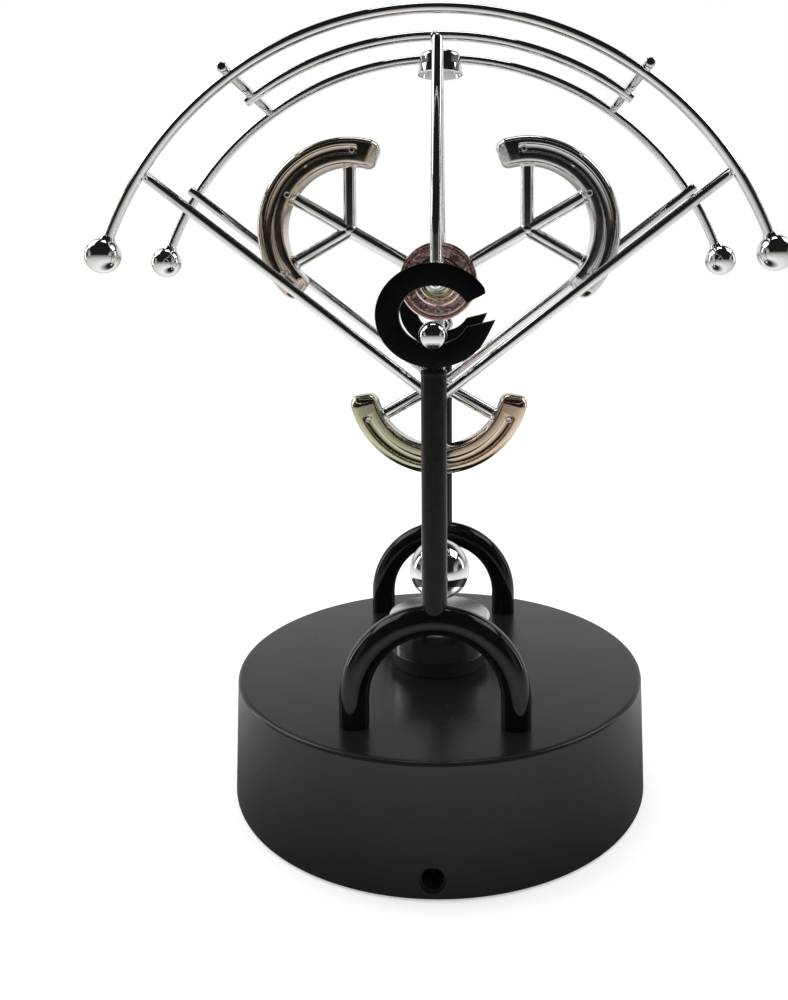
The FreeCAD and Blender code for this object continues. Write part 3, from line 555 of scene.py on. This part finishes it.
def hook_shape(y):
    """A flat C: inner and outer edge lines run together, with a rounded oblong section between.

    Both edges are ellipses. The outer one leaves its ellipse at the lower jaw for a pointed tip.
    """
    count = 140
    t = np.linspace(0, 1, count)
    inner_a = np.radians(-22.0 - 314.5 * t)
    inner = np.stack([
        HOOK_X + HOOK_INNER[0] * np.cos(inner_a), HOOK_Z + HOOK_INNER[1] * np.sin(inner_a)
    ], -1)
    outer_a = np.radians(-24.5 - 311.0 * t)
    outer = np.stack([
        HOOK_X + HOOK_OUTER[0] * np.cos(outer_a), HOOK_Z + HOOK_OUTER[1] * np.sin(outer_a)
    ], -1)
    reach = np.clip(1 - t / 0.04, 0, 1)[:, None] ** 1.35
    outer = outer * (1 - reach) + np.array(HOOK_TIP) * reach
    soft = np.clip((t - 0.972) / 0.028, 0, 1)[:, None] ** 2
    outer = outer - soft * np.array([0.55, 0.1])
    inner = inner - np.clip(1 - t / 0.02, 0, 1)[:, None] ** 2 * np.array([-0.1, 0.15])
    half = HOOK_T / 2
    q = np.linspace(0, np.pi / 2, 5)
    near, sunk = HOOK_EDGE_R * (1 - np.sin(q)), HOOK_EDGE_R * (1 - np.cos(q))
    run = np.linalg.norm(outer - inner, axis=1)[:, None]
    from_inner, from_outer = near / run, 1 - near / run
    across = np.concatenate([from_inner[:, ::-1], from_outer, from_outer[:, ::-1], from_inner], axis=1)
    depth = np.concatenate([(sunk - half)[::-1], sunk - half, (half - sunk)[::-1], half - sunk])
    edge = inner[:, None] + across[..., None] * (outer - inner)[:, None]
    grid = np.stack([edge[..., 0], np.broadcast_to(y + depth, edge.shape[:2]), edge[..., 1]], -1)
    return [outward(grid_shape(grid, False, True, True, True))]


piece("base_drum", [shell_shape()], base_black, "base", ["base_shell"], 40.0)
for name, side in (("front", -1), ("back", 1)):
    arch, post = arch_shape(side * STAND_Y), post_shape(side * STAND_Y)
    piece("rod_arch_" + name, arch, gloss_black, "base", ["arch_" + name])
    piece("upright_" + name, post, post_black, "base", ["post_" + name])
    hook = hook_shape(side * STAND_Y)
    piece("open_hook_" + name, hook, hook_black, "base", ["hook_" + name], 40.0)

puck_profile = rounded([
    (0, PUCK_LOW, 0), (PUCK_R, PUCK_LOW, 0.5), (PUCK_R, PUCK_HIGH, 0.9), (0, PUCK_HIGH, 0),
], 8)
drum = lathe(puck_profile, np.zeros(3), Z, 160)
piece("drive_drum", [drum], drum_metal(), "base", ["drive_puck"])
collar_profile = rounded([
    (0, BASE_TOP_Z, 0), (COLLAR_R, BASE_TOP_Z, 0.1), (COLLAR_R, PUCK_LOW, 0.1), (0, PUCK_LOW, 0),
], 6)
collar = lathe(collar_profile, np.zeros(3), Z, 128)
piece("drum_collar", [collar], cover_black, "base", ["puck_collar"])


def winding_shape():
    """Wire turns: the outer face is a wave along the height, one crest to each turn."""
    z = np.linspace(COIL_LOW_Z, COIL_HIGH_Z, 241)
    crest = WIRE_H * np.abs(np.sin(np.pi * (z - COIL_LOW_Z) / WIRE_PITCH))
    outer = np.stack([COIL_R + crest, z], -1)
    inner = np.array([[COIL_BORE_R, COIL_HIGH_Z], [COIL_BORE_R, COIL_LOW_Z]])
    return [lathe(np.concatenate([outer, inner]), np.zeros(3), Z, 96)]


piece("wire_turns", winding_shape(), copper, "base", ["coil_winding"])
# painted shade: the jack pin gets a near-black metal colour that stands in for the shade deep inside the
# socket, in place of a pin's own bright metal
pin_painted_shade_metal = metal("jack_pin_painted_shade", (0.03, 0.03, 0.03), (0.05, 0.05, 0.05), (0.3, 0.4))
finish_node(pin_painted_shade_metal, "jack_pin")
finish_node(cover_black, "bottom_cover", "coil_bobbin", "dc_jack")
finish_node(steel, "cover_screws", "arch_nuts", "arch_washers", "coil_core", "bob_magnet")
pad = rounded([(0, 0, 0), (FOOT_R, 0, 0.35), (FOOT_R, FOOT_H, 0.05), (0, FOOT_H, 0)], 6)
corners = np.radians([45, 135, 225, 315])
places = [FOOT_CIRCLE_R * np.array([math.cos(t), math.sin(t), 0.0]) for t in corners]
piece("foot_pads", [lathe(pad, at, Z, 64) for at in places], rubber, "base", ["rubber_feet"])
finish_node(board_green, "circuit_board")
finish_node(component, "transistor", "capacitor")
finish_node(copper, "coil_leads")


# ---- swinging frame -----------------------------------------------------------------------
def swing(name, shapes, material=chrome, nodes=(), slot="rod_chrome"):
    """A piece that swings in the hooks."""
    return piece(name, shapes, material, "swing_frame", nodes)


for name, y in (("front", -ARC_Y), ("back", ARC_Y)):
    path = circle_path((0, ARC_Z), ARC_R, -BALL_ANGLE + 1, BALL_ANGLE - 1, y, 241)
    swing("fan_arc_" + name, [tube(path, ROD_R, Y, 0.2)], nodes=["arc_" + name])
middle_path = circle_path((0, ARC_Z), ARC_R, -MIDDLE_ANGLE, MIDDLE_ANGLE, 0.0, 161)
swing("fan_arc_middle", [tube(middle_path, ROD_R, Y, 0.35)], nodes=["arc_middle"])

for name, side in (("left", -1), ("right", 1)):
    at = on_arc(side * BAR_ANGLE, 0.0, ARC_R + 2 * ROD_R - 0.12)
    bar = tube(straight(at - BAR_HALF * Y, at + BAR_HALF * Y, 30), ROD_R, X, 0.6)
    swing("cross_rod_" + name, [bar], nodes=["crossbar_" + name])


def end_ball(side_x, side_y):
    """A ball with a short necked collar where the rod goes in."""
    centre = on_arc(side_x * BALL_ANGLE, side_y * ARC_Y)
    a = math.radians(side_x * BALL_ANGLE)
    back = -side_x * np.array([math.cos(a), 0.0, -math.sin(a)])
    neck = rounded([
        (0, 3.6, 0), (2.1, 3.6, 0.2), (1.75, 4.35, 0.35), (1.55, 5.0, 0.25), (0, 5.0, 0)
    ], 5)
    return [ball(centre, END_BALL_R, back), lathe(neck, centre, back, 48)]


balls = [s for sx in (-1, 1) for sy in (-1, 1) for s in end_ball(sx, sy)]
swing("fan_balls", balls, ball_chrome, ["end_balls"])

for y_name, sy in (("front", -1), ("back", 1)):
    for x_name, sx in (("left", -1), ("right", 1)):
        low = np.array([0.0, sy * YOKE_Y, APEX_Z])
        high = on_arc(sx * V_ANGLE, sy * YOKE_Y)
        reach = (high - low) / np.linalg.norm(high - low)
        rod = tube(straight(low, high + 1.9 * reach, 40), ROD_R, Y, 0.5)
        swing("slant_rod_%s_%s" % (y_name, x_name), [rod], nodes=["v_bar_%s_%s" % (y_name, x_name)])

yoke_z = BOB_Z + BOB_R + ROD_R + YOKE_Y - 0.6
a = np.linspace(np.pi, 2 * np.pi, 97)
bend = np.stack([np.zeros(97), YOKE_Y * np.cos(a), yoke_z + YOKE_Y * np.sin(a)], -1)
u_path = np.concatenate([
    straight((0, -YOKE_Y, PIVOT_Z - 0.6), (0, -YOKE_Y, yoke_z), 24)[:-1], bend,
    straight((0, YOKE_Y, yoke_z), (0, YOKE_Y, PIVOT_Z - 0.6), 24)[1:],
])
swing("u_rod", [tube(u_path, ROD_R, X, 0.3)], nodes=["pendulum_yoke"], slot="chrome_steel")

stub_low, stub_high = YOKE_Y - 1.6, PIVOT_BALL_Y - 2.0
for name, side in (("front", -1), ("back", 1)):
    profile = rounded([
        (0, stub_low, 0), (STUB_R, stub_low, 0.35), (STUB_R, stub_low + 3.2, 0.1),
        (STUB_R - 0.25, stub_low + 3.5, 0.1), (STUB_R - 0.25, stub_low + 4.3, 0.1),
        (STUB_R, stub_low + 4.6, 0.1), (STUB_R, stub_high, 0.3), (0, stub_high, 0),
    ], 5)
    shape = lathe(profile, np.array([0.0, 0.0, PIVOT_Z]), side * Y, 64)
    swing("axle_stub_" + name, [shape], nodes=["stub_axle_" + name], slot="chrome_steel")
tips = []
for side in (-1, 1):
    seat = rounded([(0, -2.7, 0), (2.75, -2.7, 0.2), (2.75, -2.15, 0.2), (0, -2.15, 0)], 4)
    centre = np.array([0.0, side * PIVOT_BALL_Y, PIVOT_Z])
    tips += [ball(centre, PIVOT_BALL_R, side * Y, 48, 80), lathe(seat, centre, side * Y, 48)]
swing("axle_balls", tips, ball_chrome, ["pivot_balls"], "chrome_steel")

neck = rounded([
    (0, BOB_R - 1.2, 0), (3.0, BOB_R - 0.9, 0.3), (2.1, BOB_R + 0.25, 0.4), (1.7, BOB_R + 1.1, 0.3),
    (0, BOB_R + 1.1, 0)
], 6)
bob_centre = np.array([0.0, 0.0, BOB_Z])
bob = [ball(bob_centre, BOB_R, Z, 72, 128), lathe(neck, bob_centre, Z, 64)]
swing("bob_ball", bob, ball_chrome, ["bob"], "chrome_steel")


def leg_path(side):
    """From the middle arc's side down and outwards, round one bend, then straight down."""
    top = np.array([LEG_TOP_Y, LEG_TOP_Z])
    knee = np.array([YOKE_Y, LEG_KNEE_Z])
    corners = [(*top, 0), (*knee, LEG_BEND_R), (YOKE_Y, ROTOR_Z, 0)]
    line = rounded(corners, 16)
    ends = [np.linspace(line[0], line[1], 30)[:-1], line[1:-1], np.linspace(line[-2], line[-1], 8)[1:]]
    flat = np.concatenate(ends)
    return np.stack([np.zeros(len(flat)), side * flat[:, 0], flat[:, 1]], -1)


for name, side in (("front", -1), ("back", 1)):
    boss = rounded([
        (AXLE_R + 0.02, -1.6, 0), (2.7, -1.6, 0.3), (2.7, 1.6, 0.3), (AXLE_R + 0.02, 1.6, 0)
    ], 5)
    eye = lathe(boss, np.array([0.0, side * YOKE_Y, ROTOR_Z]), Y, 56)
    path = leg_path(side)
    path = path[path[:, 2] > ROTOR_Z + 1.6]
    leg = tube(path, LEG_R, X, LEG_R * 0.95)
    swing("hanger_rod_" + name, [leg, eye], nodes=["hanger_leg_" + name])

axle_profile = rounded([
    (0, -AXLE_HALF, 0), (AXLE_R, -AXLE_HALF, 0.3), (AXLE_R, AXLE_HALF, 0.3), (0, AXLE_HALF, 0)
])
rotor_centre = np.array([0.0, 0.0, ROTOR_Z])
swing("spin_axle", [lathe(axle_profile, rotor_centre, Y, 48)], nodes=["rotor_axle"], slot="chrome_steel")
nut_y = YOKE_Y + 1.6
dome = rounded([
    (0, nut_y, 0), (2.1, nut_y, 0.15), (2.1, nut_y + 1.3, 0.5), (1.5, nut_y + 2.9, 1.0), (0, nut_y + 3.2, 0)
], 8)
nuts = [lathe(dome, rotor_centre, side * Y, 56) for side in (-1, 1)]
swing("dome_nuts", nuts, ball_chrome, ["axle_nuts"], "steel_screw")

low = CUP_TOP_Z - CUP_H
cup_profile = rounded([
    (0, CUP_TOP_Z, 0), (CUP_TOP_R, CUP_TOP_Z, 1.6), (CUP_TOP_R + 0.3, low + 2.6, 3.0),
    (CUP_RIM_R, low + 0.1, 0.2), (CUP_RIM_R - 0.55, low, 0.15), (CUP_TOP_R - 0.5, low + 2.4, 2.0),
    (CUP_TOP_R - 0.8, CUP_TOP_Z - 0.8, 1.2), (0, CUP_TOP_Z - 0.8, 0),
], 8)
swing("trim_bell", [lathe(cup_profile, np.array([0.0, ARC_Y, 0.0]), Z, 96)], nodes=["balance_cup"])

beads = []
for sx in (-1, 1):
    for i, y in enumerate((-ARC_Y, 0.0, ARC_Y)):
        at = on_arc(sx * BAR_ANGLE, y, ARC_R + ROD_R)
        beads.append(bead(at, 1.15, (at - np.array([0, y, ARC_Z])) / (ARC_R + ROD_R), 1.0 + i))
    for sy in (-1, 1):
        beads.append(bead(on_arc(sx * V_ANGLE, sy * (ARC_Y - ROD_R)), 1.2, Y, 2.0 + sx))
for sy in (-1, 1):
    beads.append(bead((0, sy * YOKE_Y, PIVOT_Z - STUB_R), 1.75, Z, 3.0))
    beads.append(bead((0, sy * YOKE_Y, APEX_Z + 0.8), 1.9, Z, 4.0 + sy))
    beads.append(bead((-0.5, sy * 1.25, LEG_TOP_Z - 0.3), 1.4, Y, 5.0 + sy))
swing("braze_beads", beads, chrome)


# ---- rotor --------------------------------------------------------------------------------
def spin(name, shapes, material, nodes=(), sharp=32.0):
    """A piece that turns on the rotor's axle."""
    return piece(name, shapes, material, "rotor", nodes, sharp)


def arm_shapes():
    """A rod from the hub to the fork, three prongs from there to the half ring, and a knuckle."""
    joint = np.array([ARM_LENGTH, 0.0, 0.0])
    shapes = [tube(straight((HUB_R - 2.4, 0, 0), joint, 12), ARM_R, Y, 0.2)]
    shapes.append(ball(joint, KNUCKLE_R, Y, 24, 48))
    for turn in (-60, 0, 60):
        way = np.array([math.cos(math.radians(turn)), 0.0, math.sin(math.radians(turn))])
        shapes.append(tube(straight(joint, joint + way * (RING_IN + 2.2), 12), ARM_R, Y, 0.2))
        shapes.append(bead(joint + way * (RING_IN + 0.05), ARM_R + 0.35, way, turn / 20.0))
    return shapes


def half_ring():
    """A bevelled section carried round the fork's joint, with a groove sunk in both faces.

    The groove is a shallow bowl: its depth follows one minus the square across, to a low power.
    Its half width is constant, then falls to nothing as a fourth-power oval at each end.
    Past the last full section the faces slope back and the end is cut flat.
    """
    reach = math.radians(RING_ANGLE)
    groove_end = math.radians(GROOVE_ANGLE)
    oval = GROOVE_W / GROOVE_R
    near = np.sin(np.linspace(0, np.pi / 2, 12)) * oval + groove_end - oval
    body = np.linspace(-groove_end + oval, groove_end - oval, 151)
    beyond = np.linspace(groove_end, reach, 6)[1:]
    u = np.concatenate([-beyond[::-1], -near[1:][::-1], body, near[1:], beyond])
    past = np.clip((np.abs(u) - (groove_end - oval)) / oval, 0, 1)
    w = np.maximum(GROOVE_W * np.clip(1 - past ** 4, 0, 1) ** 0.25, 0.01)
    d = GROOVE_D * np.clip(w / 0.4, 0, 1)
    mid = (RING_OUT + RING_IN) / 2
    q = np.linspace(0, np.pi / 2, 7)
    one = np.ones_like(u)

    def quarter(centre, radius, start):
        """A quarter circle of the section, as (R, y) pairs that are the same at every angle."""
        turn = start + q
        far, wide = centre[0] + radius * np.cos(turn), centre[1] + radius * np.sin(turn)
        return [(one * f, one * w) for f, w in zip(far, wide)]

    out_r, in_r, h = 1.9, 1.0, RING_HALF
    bowl = np.linspace(-1, 1, 13)
    section = []
    for sign in (-1, 1):
        lines = [(GROOVE_R - w - 0.3, one * h), (GROOVE_R - w - 0.1, h - 0.025 * d)]
        lines += [(GROOVE_R + w * k, h - 0.1 * d - 0.9 * d * (1 - k * k) ** 0.4) for k in bowl]
        lines += [(GROOVE_R + w + 0.1, h - 0.025 * d), (GROOVE_R + w + 0.3, one * h)]
        outer = quarter((RING_OUT - out_r, h - out_r), out_r, 0)[::-1]
        inner = quarter((RING_IN + in_r, h - in_r), in_r, np.pi / 2)[::-1]
        face = inner + lines + outer
        if sign > 0:
            face = face[::-1]
        section += [(r, sign * y) for r, y in face]
    radius = np.array([s[0] for s in section]).T
    depth = np.array([s[1] for s in section]).T
    caps_u = np.radians([75.4, 75.9, 78.6, 80.4, 81.2])
    narrow = np.array([0.992, 0.98, 0.9, 0.76, 0.6])[:, None]
    thin = np.array([0.985, 0.96, 0.78, 0.63, 0.5])[:, None]
    last_r, last_y = radius[-1], depth[-1]
    cap_r = mid + (last_r - mid) * narrow
    cap_y = last_y * thin
    u = np.concatenate([-caps_u[::-1], u, caps_u])
    radius = np.concatenate([cap_r[::-1], radius, cap_r])
    depth = np.concatenate([cap_y[::-1], depth, cap_y])
    grid = np.stack([
        ARM_LENGTH + radius * np.cos(u)[:, None], depth, radius * np.sin(u)[:, None]
    ], -1)
    return outward(grid_shape(grid, False, True, True, True))


def pin_shapes():
    """Domed round heads over the prongs' ends, front and back."""
    shapes = []
    for turn in (-63, 0, 63):
        r = GROOVE_R if turn else 18.4
        floor = RING_HALF - (GROOVE_D if turn else 0.0)
        at = np.array([ARM_LENGTH + r * math.cos(math.radians(turn)), 0.0, r * math.sin(math.radians(turn))])
        profile = rounded([
            (0, floor - 0.3, 0), (0.85, floor - 0.3, 0.02), (0.85, floor + 0.25, 0.15),
            (0.62, floor + 0.3, 0.08), (0.55, floor + 0.12, 0.08), (0, floor + 0.12, 0)
        ], 4)
        shapes += [lathe(profile, at, s * Y, 32) for s in (-1, 1)]
    return shapes


ring, arm, heads = half_ring(), arm_shapes(), pin_shapes()
tones = {
    "left": (plate_left, "plated_dark"), "right": (plate_right, "plated_dark"),
    "lower": (plate_lower, "plated_gold"),
}
all_heads = []
for name, angle in ARM_ANGLES.items():
    tone, slot = tones[name]
    spin("half_ring_" + name, [turned(ring, angle)], tone, ["crescent_" + name], 28.0)
    spin("fork_arm_" + name, [turned(s, angle) for s in arm], chrome, ["rotor_arm_" + name])
    all_heads += [turned(s, angle) for s in heads]
spin("pin_heads", all_heads, ball_chrome, ["prong_pins"])

rim_r = HUB_R - 0.95
face = [
    (3.45, RECESS_Y, 0), (rim_r, RECESS_Y, 0.15), (rim_r + 0.05, HUB_HALF, 0.2),
    (HUB_R - 0.25, HUB_HALF, 0.25), (HUB_R, HUB_HALF - 0.5, 0.3),
]
hub_profile = rounded([(reach, -depth, edge) for reach, depth, edge in face] + face[::-1], 5)
spin("hub_drum", [lathe(hub_profile, rotor_centre, Y, 128)], plate_hub, ["rotor_hub"])
head = rounded([
    (0, 2.2, 0), (1.05, 2.2, 0.02), (1.05, 2.75, 0.15), (0.75, 2.98, 0.1), (0.55, 2.98, 0.06),
    (0.5, 2.72, 0.05), (0, 2.72, 0)
], 4)
screws = []
for angle in np.radians(list(ARM_ANGLES.values())):
    at = rotor_centre + SCREW_CIRCLE_R * np.array([math.cos(angle), 0.0, math.sin(angle)])
    screws.append(lathe(head, at, -Y, 40))
spin("hub_screw_heads", screws, steel, ["hub_screws"])
for name, side in (("front", -1), ("back", 1)):
    disc = rounded([
        (5.15, RECESS_Y, 0), (rim_r - 0.12, RECESS_Y, 0.05), (rim_r - 0.12, 2.5, 0.1), (8.9, 2.6, 0.2),
        (8.6, 2.42, 0.2),
        (6.6, 2.42, 0.3), (6.2, 2.62, 0.2), (5.15, 2.62, 0)
    ], 5)
    spin("hub_disc_" + name, [lathe(disc, rotor_centre, side * Y, 128)], plate_hub, ["hub_plate_" + name])
    step = rounded([
        (AXLE_R + 0.05, 0.05, 0), (3.4, 0.05, 0.1), (3.4, RECESS_Y, 0.02), (5.1, RECESS_Y, 0.05),
        (5.1, 4.7, 0.3), (4.75, 5.1, 0.15), (4.3, 5.1, 0.1), (4.1, 4.85, 0.1), (3.55, 4.85, 0.15),
        (3.4, 6.4, 0.25), (3.1, 6.7, 0.15), (2.5, 6.7, 0.15),
        (2.3, 6.45, 0.1), (AXLE_R + 0.05, 6.45, 0)
    ], 5)
    bush = lathe(step, rotor_centre, side * Y, 128)
    spin("step_bush_" + name, [bush], brass, ["bush_" + name])


# ---- floor, light and camera --------------------------------------------------------------
def pale_floor():
    """A floor that is lit near the toy and reads as paper white further out.

    Seen in the chrome its colour is painted shade: dark right by the toy, and dimmer with distance, so the
    reflected horizon stays dark.
    """
    size, low = 6.0, -0.00005
    mesh = bpy.data.meshes.new("floor")
    corners = [(-size, -size, low), (size, -size, low), (size, size, low), (-size, size, low)]
    mesh.from_pydata(corners, [], [(0, 1, 2, 3)])
    floor = bpy.data.objects.new("floor", mesh)
    bpy.context.scene.collection.objects.link(floor)
    m, nodes, links, shader, place = new_material("paper_floor")
    away = nodes.new("ShaderNodeVectorMath")
    away.operation = "LENGTH"
    links.new(place, away.inputs[0])
    # painted shade for glossy rays only: a dark ring right by the toy where the floor would lie in shade, a
    # bright band just beyond, then darker further out
    painted_shade_seen_in_chrome = ramp(nodes, links, spread(nodes, links, away.outputs["Value"], 0.0, 1.0, 0.0, 1.0), [
        (0.06, (0.22, 0.22, 0.22)), (0.13, (0.95, 0.94, 0.92)),
        (0.3, (0.66, 0.65, 0.62)), (0.9, (0.4, 0.38, 0.36))
    ])
    cloud = noise(nodes, links, place, 3.0)
    paper = ramp(nodes, links, cloud, [(0.3, (0.86, 0.86, 0.86)), (0.7, (0.88, 0.88, 0.88))])
    path = nodes.new("ShaderNodeLightPath")
    mix = nodes.new("ShaderNodeMix")
    mix.data_type = "RGBA"
    links.new(path.outputs["Is Glossy Ray"], mix.inputs["Factor"])
    links.new(paper, mix.inputs["A"])
    links.new(painted_shade_seen_in_chrome, mix.inputs["B"])
    links.new(mix.outputs["Result"], shader.inputs["Base Color"])
    glow = spread(nodes, links, path.outputs["Is Camera Ray"], 0.0, 0.42, 0.0, 1.0)
    links.new(glow, shader.inputs["Emission Strength"])
    shader.inputs["Emission Color"].default_value = (1.0, 1.0, 1.0, 1.0)
    shader.inputs["Roughness"].default_value = 0.9
    shader.inputs["Specular IOR Level"].default_value = 0.1
    mesh.materials.append(m)


def soft_light(name, at, target, size_x, size_y, power):
    """An oblong lamp that faces its target. Metres and watts."""
    light = bpy.data.lights.new(name, "AREA")
    light.shape = "RECTANGLE"
    light.size, light.size_y, light.energy = size_x, size_y, power
    ob = bpy.data.objects.new(name, light)
    bpy.context.scene.collection.objects.link(ob)
    ob.location = at
    way = Vector(target) - Vector(at)
    ob.rotation_euler = way.to_track_quat("-Z", "Y").to_euler()


def room():
    """What the chrome sees: a dark room in front, a bright low backdrop and two side strips.

    Rays from the camera meet plain white, and soft shading meets an even grey.
    """
    world = bpy.data.worlds.new("studio")
    bpy.context.scene.world = world
    world.use_nodes = True
    nodes, links = world.node_tree.nodes, world.node_tree.links
    back = nodes["Background"]
    split = nodes.new("ShaderNodeSeparateXYZ")
    links.new(nodes.new("ShaderNodeTexCoord").outputs["Generated"], split.inputs["Vector"])
    up, ahead = split.outputs["Z"], split.outputs["Y"]
    side = nodes.new("ShaderNodeMath")
    side.operation = "ABSOLUTE"
    links.new(split.outputs["X"], side.inputs[0])

    front = ramp(nodes, links, up, [
        (0.0, (0.11, 0.088, 0.078)), (0.05, (0.045, 0.038, 0.035)),
        (0.12, (0.014, 0.014, 0.013)), (1.0, (0.012, 0.012, 0.012))
    ])
    drop = ramp(nodes, links, up, [
        (0.0, (0.55, 0.56, 0.56)), (0.12, (0.85, 0.87, 0.87)),
        (0.38, (0.8, 0.83, 0.82)), (0.52, (0.16, 0.17, 0.17)),
        (0.62, (0.03, 0.03, 0.03)), (1.0, (0.02, 0.02, 0.02))
    ])
    strip = ramp(nodes, links, side.outputs["Value"], [
        (0.82, (0.0, 0.0, 0.0)), (0.88, (0.5, 0.5, 0.49)), (0.95, (0.5, 0.5, 0.49)),
        (0.98, (0.02, 0.02, 0.02)), (1.0, (0.02, 0.02, 0.02))
    ])

    def mixed(kind, factor, a, b):
        """Two colours mixed or added, where each input is a fixed value or another node's output."""
        m = nodes.new("ShaderNodeMix")
        m.data_type = "RGBA"
        m.blend_type = kind
        for key, v in (("Factor", factor), ("A", a), ("B", b)):
            if isinstance(v, (float, tuple)):
                m.inputs[key].default_value = v
            else:
                links.new(v, m.inputs[key])
        return m.outputs["Result"]

    low = mixed("MIX", spread(nodes, links, up, 1.0, 0.0, 0.1, 0.5), (0.0, 0.0, 0.0, 1.0), strip)
    near = mixed("ADD", 1.0, front, low)
    seen = mixed("MIX", spread(nodes, links, ahead, 0.0, 1.0, 0.45, 0.7), near, drop)
    path = nodes.new("ShaderNodeLightPath")
    soft = mixed("MIX", path.outputs["Is Diffuse Ray"], seen, (0.72, 0.72, 0.72, 1.0))
    links.new(mixed("MIX", path.outputs["Is Camera Ray"], soft, (1.0, 1.0, 1.0, 1.0)), back.inputs["Color"])
    back.inputs["Strength"].default_value = 1.0


def camera():
    """The view from in front, a little above the rotor."""
    cam = bpy.data.cameras.new("view")
    cam.sensor_width = 36.0
    cam.lens = 31.52
    cam.shift_x, cam.shift_y = -0.0469, -0.15
    cam.clip_start = 0.01
    ob = bpy.data.objects.new("view", cam)
    bpy.context.scene.collection.objects.link(ob)
    pitch, yaw, roll = (math.radians(v) for v in (3.668, 1.643, -0.189))
    ahead = Vector((-math.sin(yaw) * math.cos(pitch), math.cos(yaw) * math.cos(pitch), -math.sin(pitch)))
    ob.location = Vector((7.33, -235.28, 130.59)) * MM
    turn = Matrix.Rotation(-roll, 4, ahead)
    ob.rotation_euler = (turn @ ahead.to_track_quat("-Z", "Y").to_matrix().to_4x4()).to_euler()
    bpy.context.scene.camera = ob


pale_floor()
room()
soft_light("left_softbox", (-0.82, 0.26, 0.9), (0, 0, 0.12), 0.8, 0.6, 3.8)
soft_light("right_softbox", (0.82, 0.26, 0.9), (0, 0, 0.12), 0.6, 0.5, 2.4)
soft_light("top_softbox", (0.0, 0.3, 1.2), (0, 0, 0.1), 0.5, 0.3, 1.6)
soft_light("left_strip", (-0.95, 0.3, 0.24), (0, 0, 0.06), 0.12, 0.6, 1.0)
soft_light("right_strip", (0.95, 0.3, 0.24), (0, 0, 0.06), 0.1, 0.6, 0.5)
camera()
bpy.context.scene.view_settings.view_transform = "Standard"
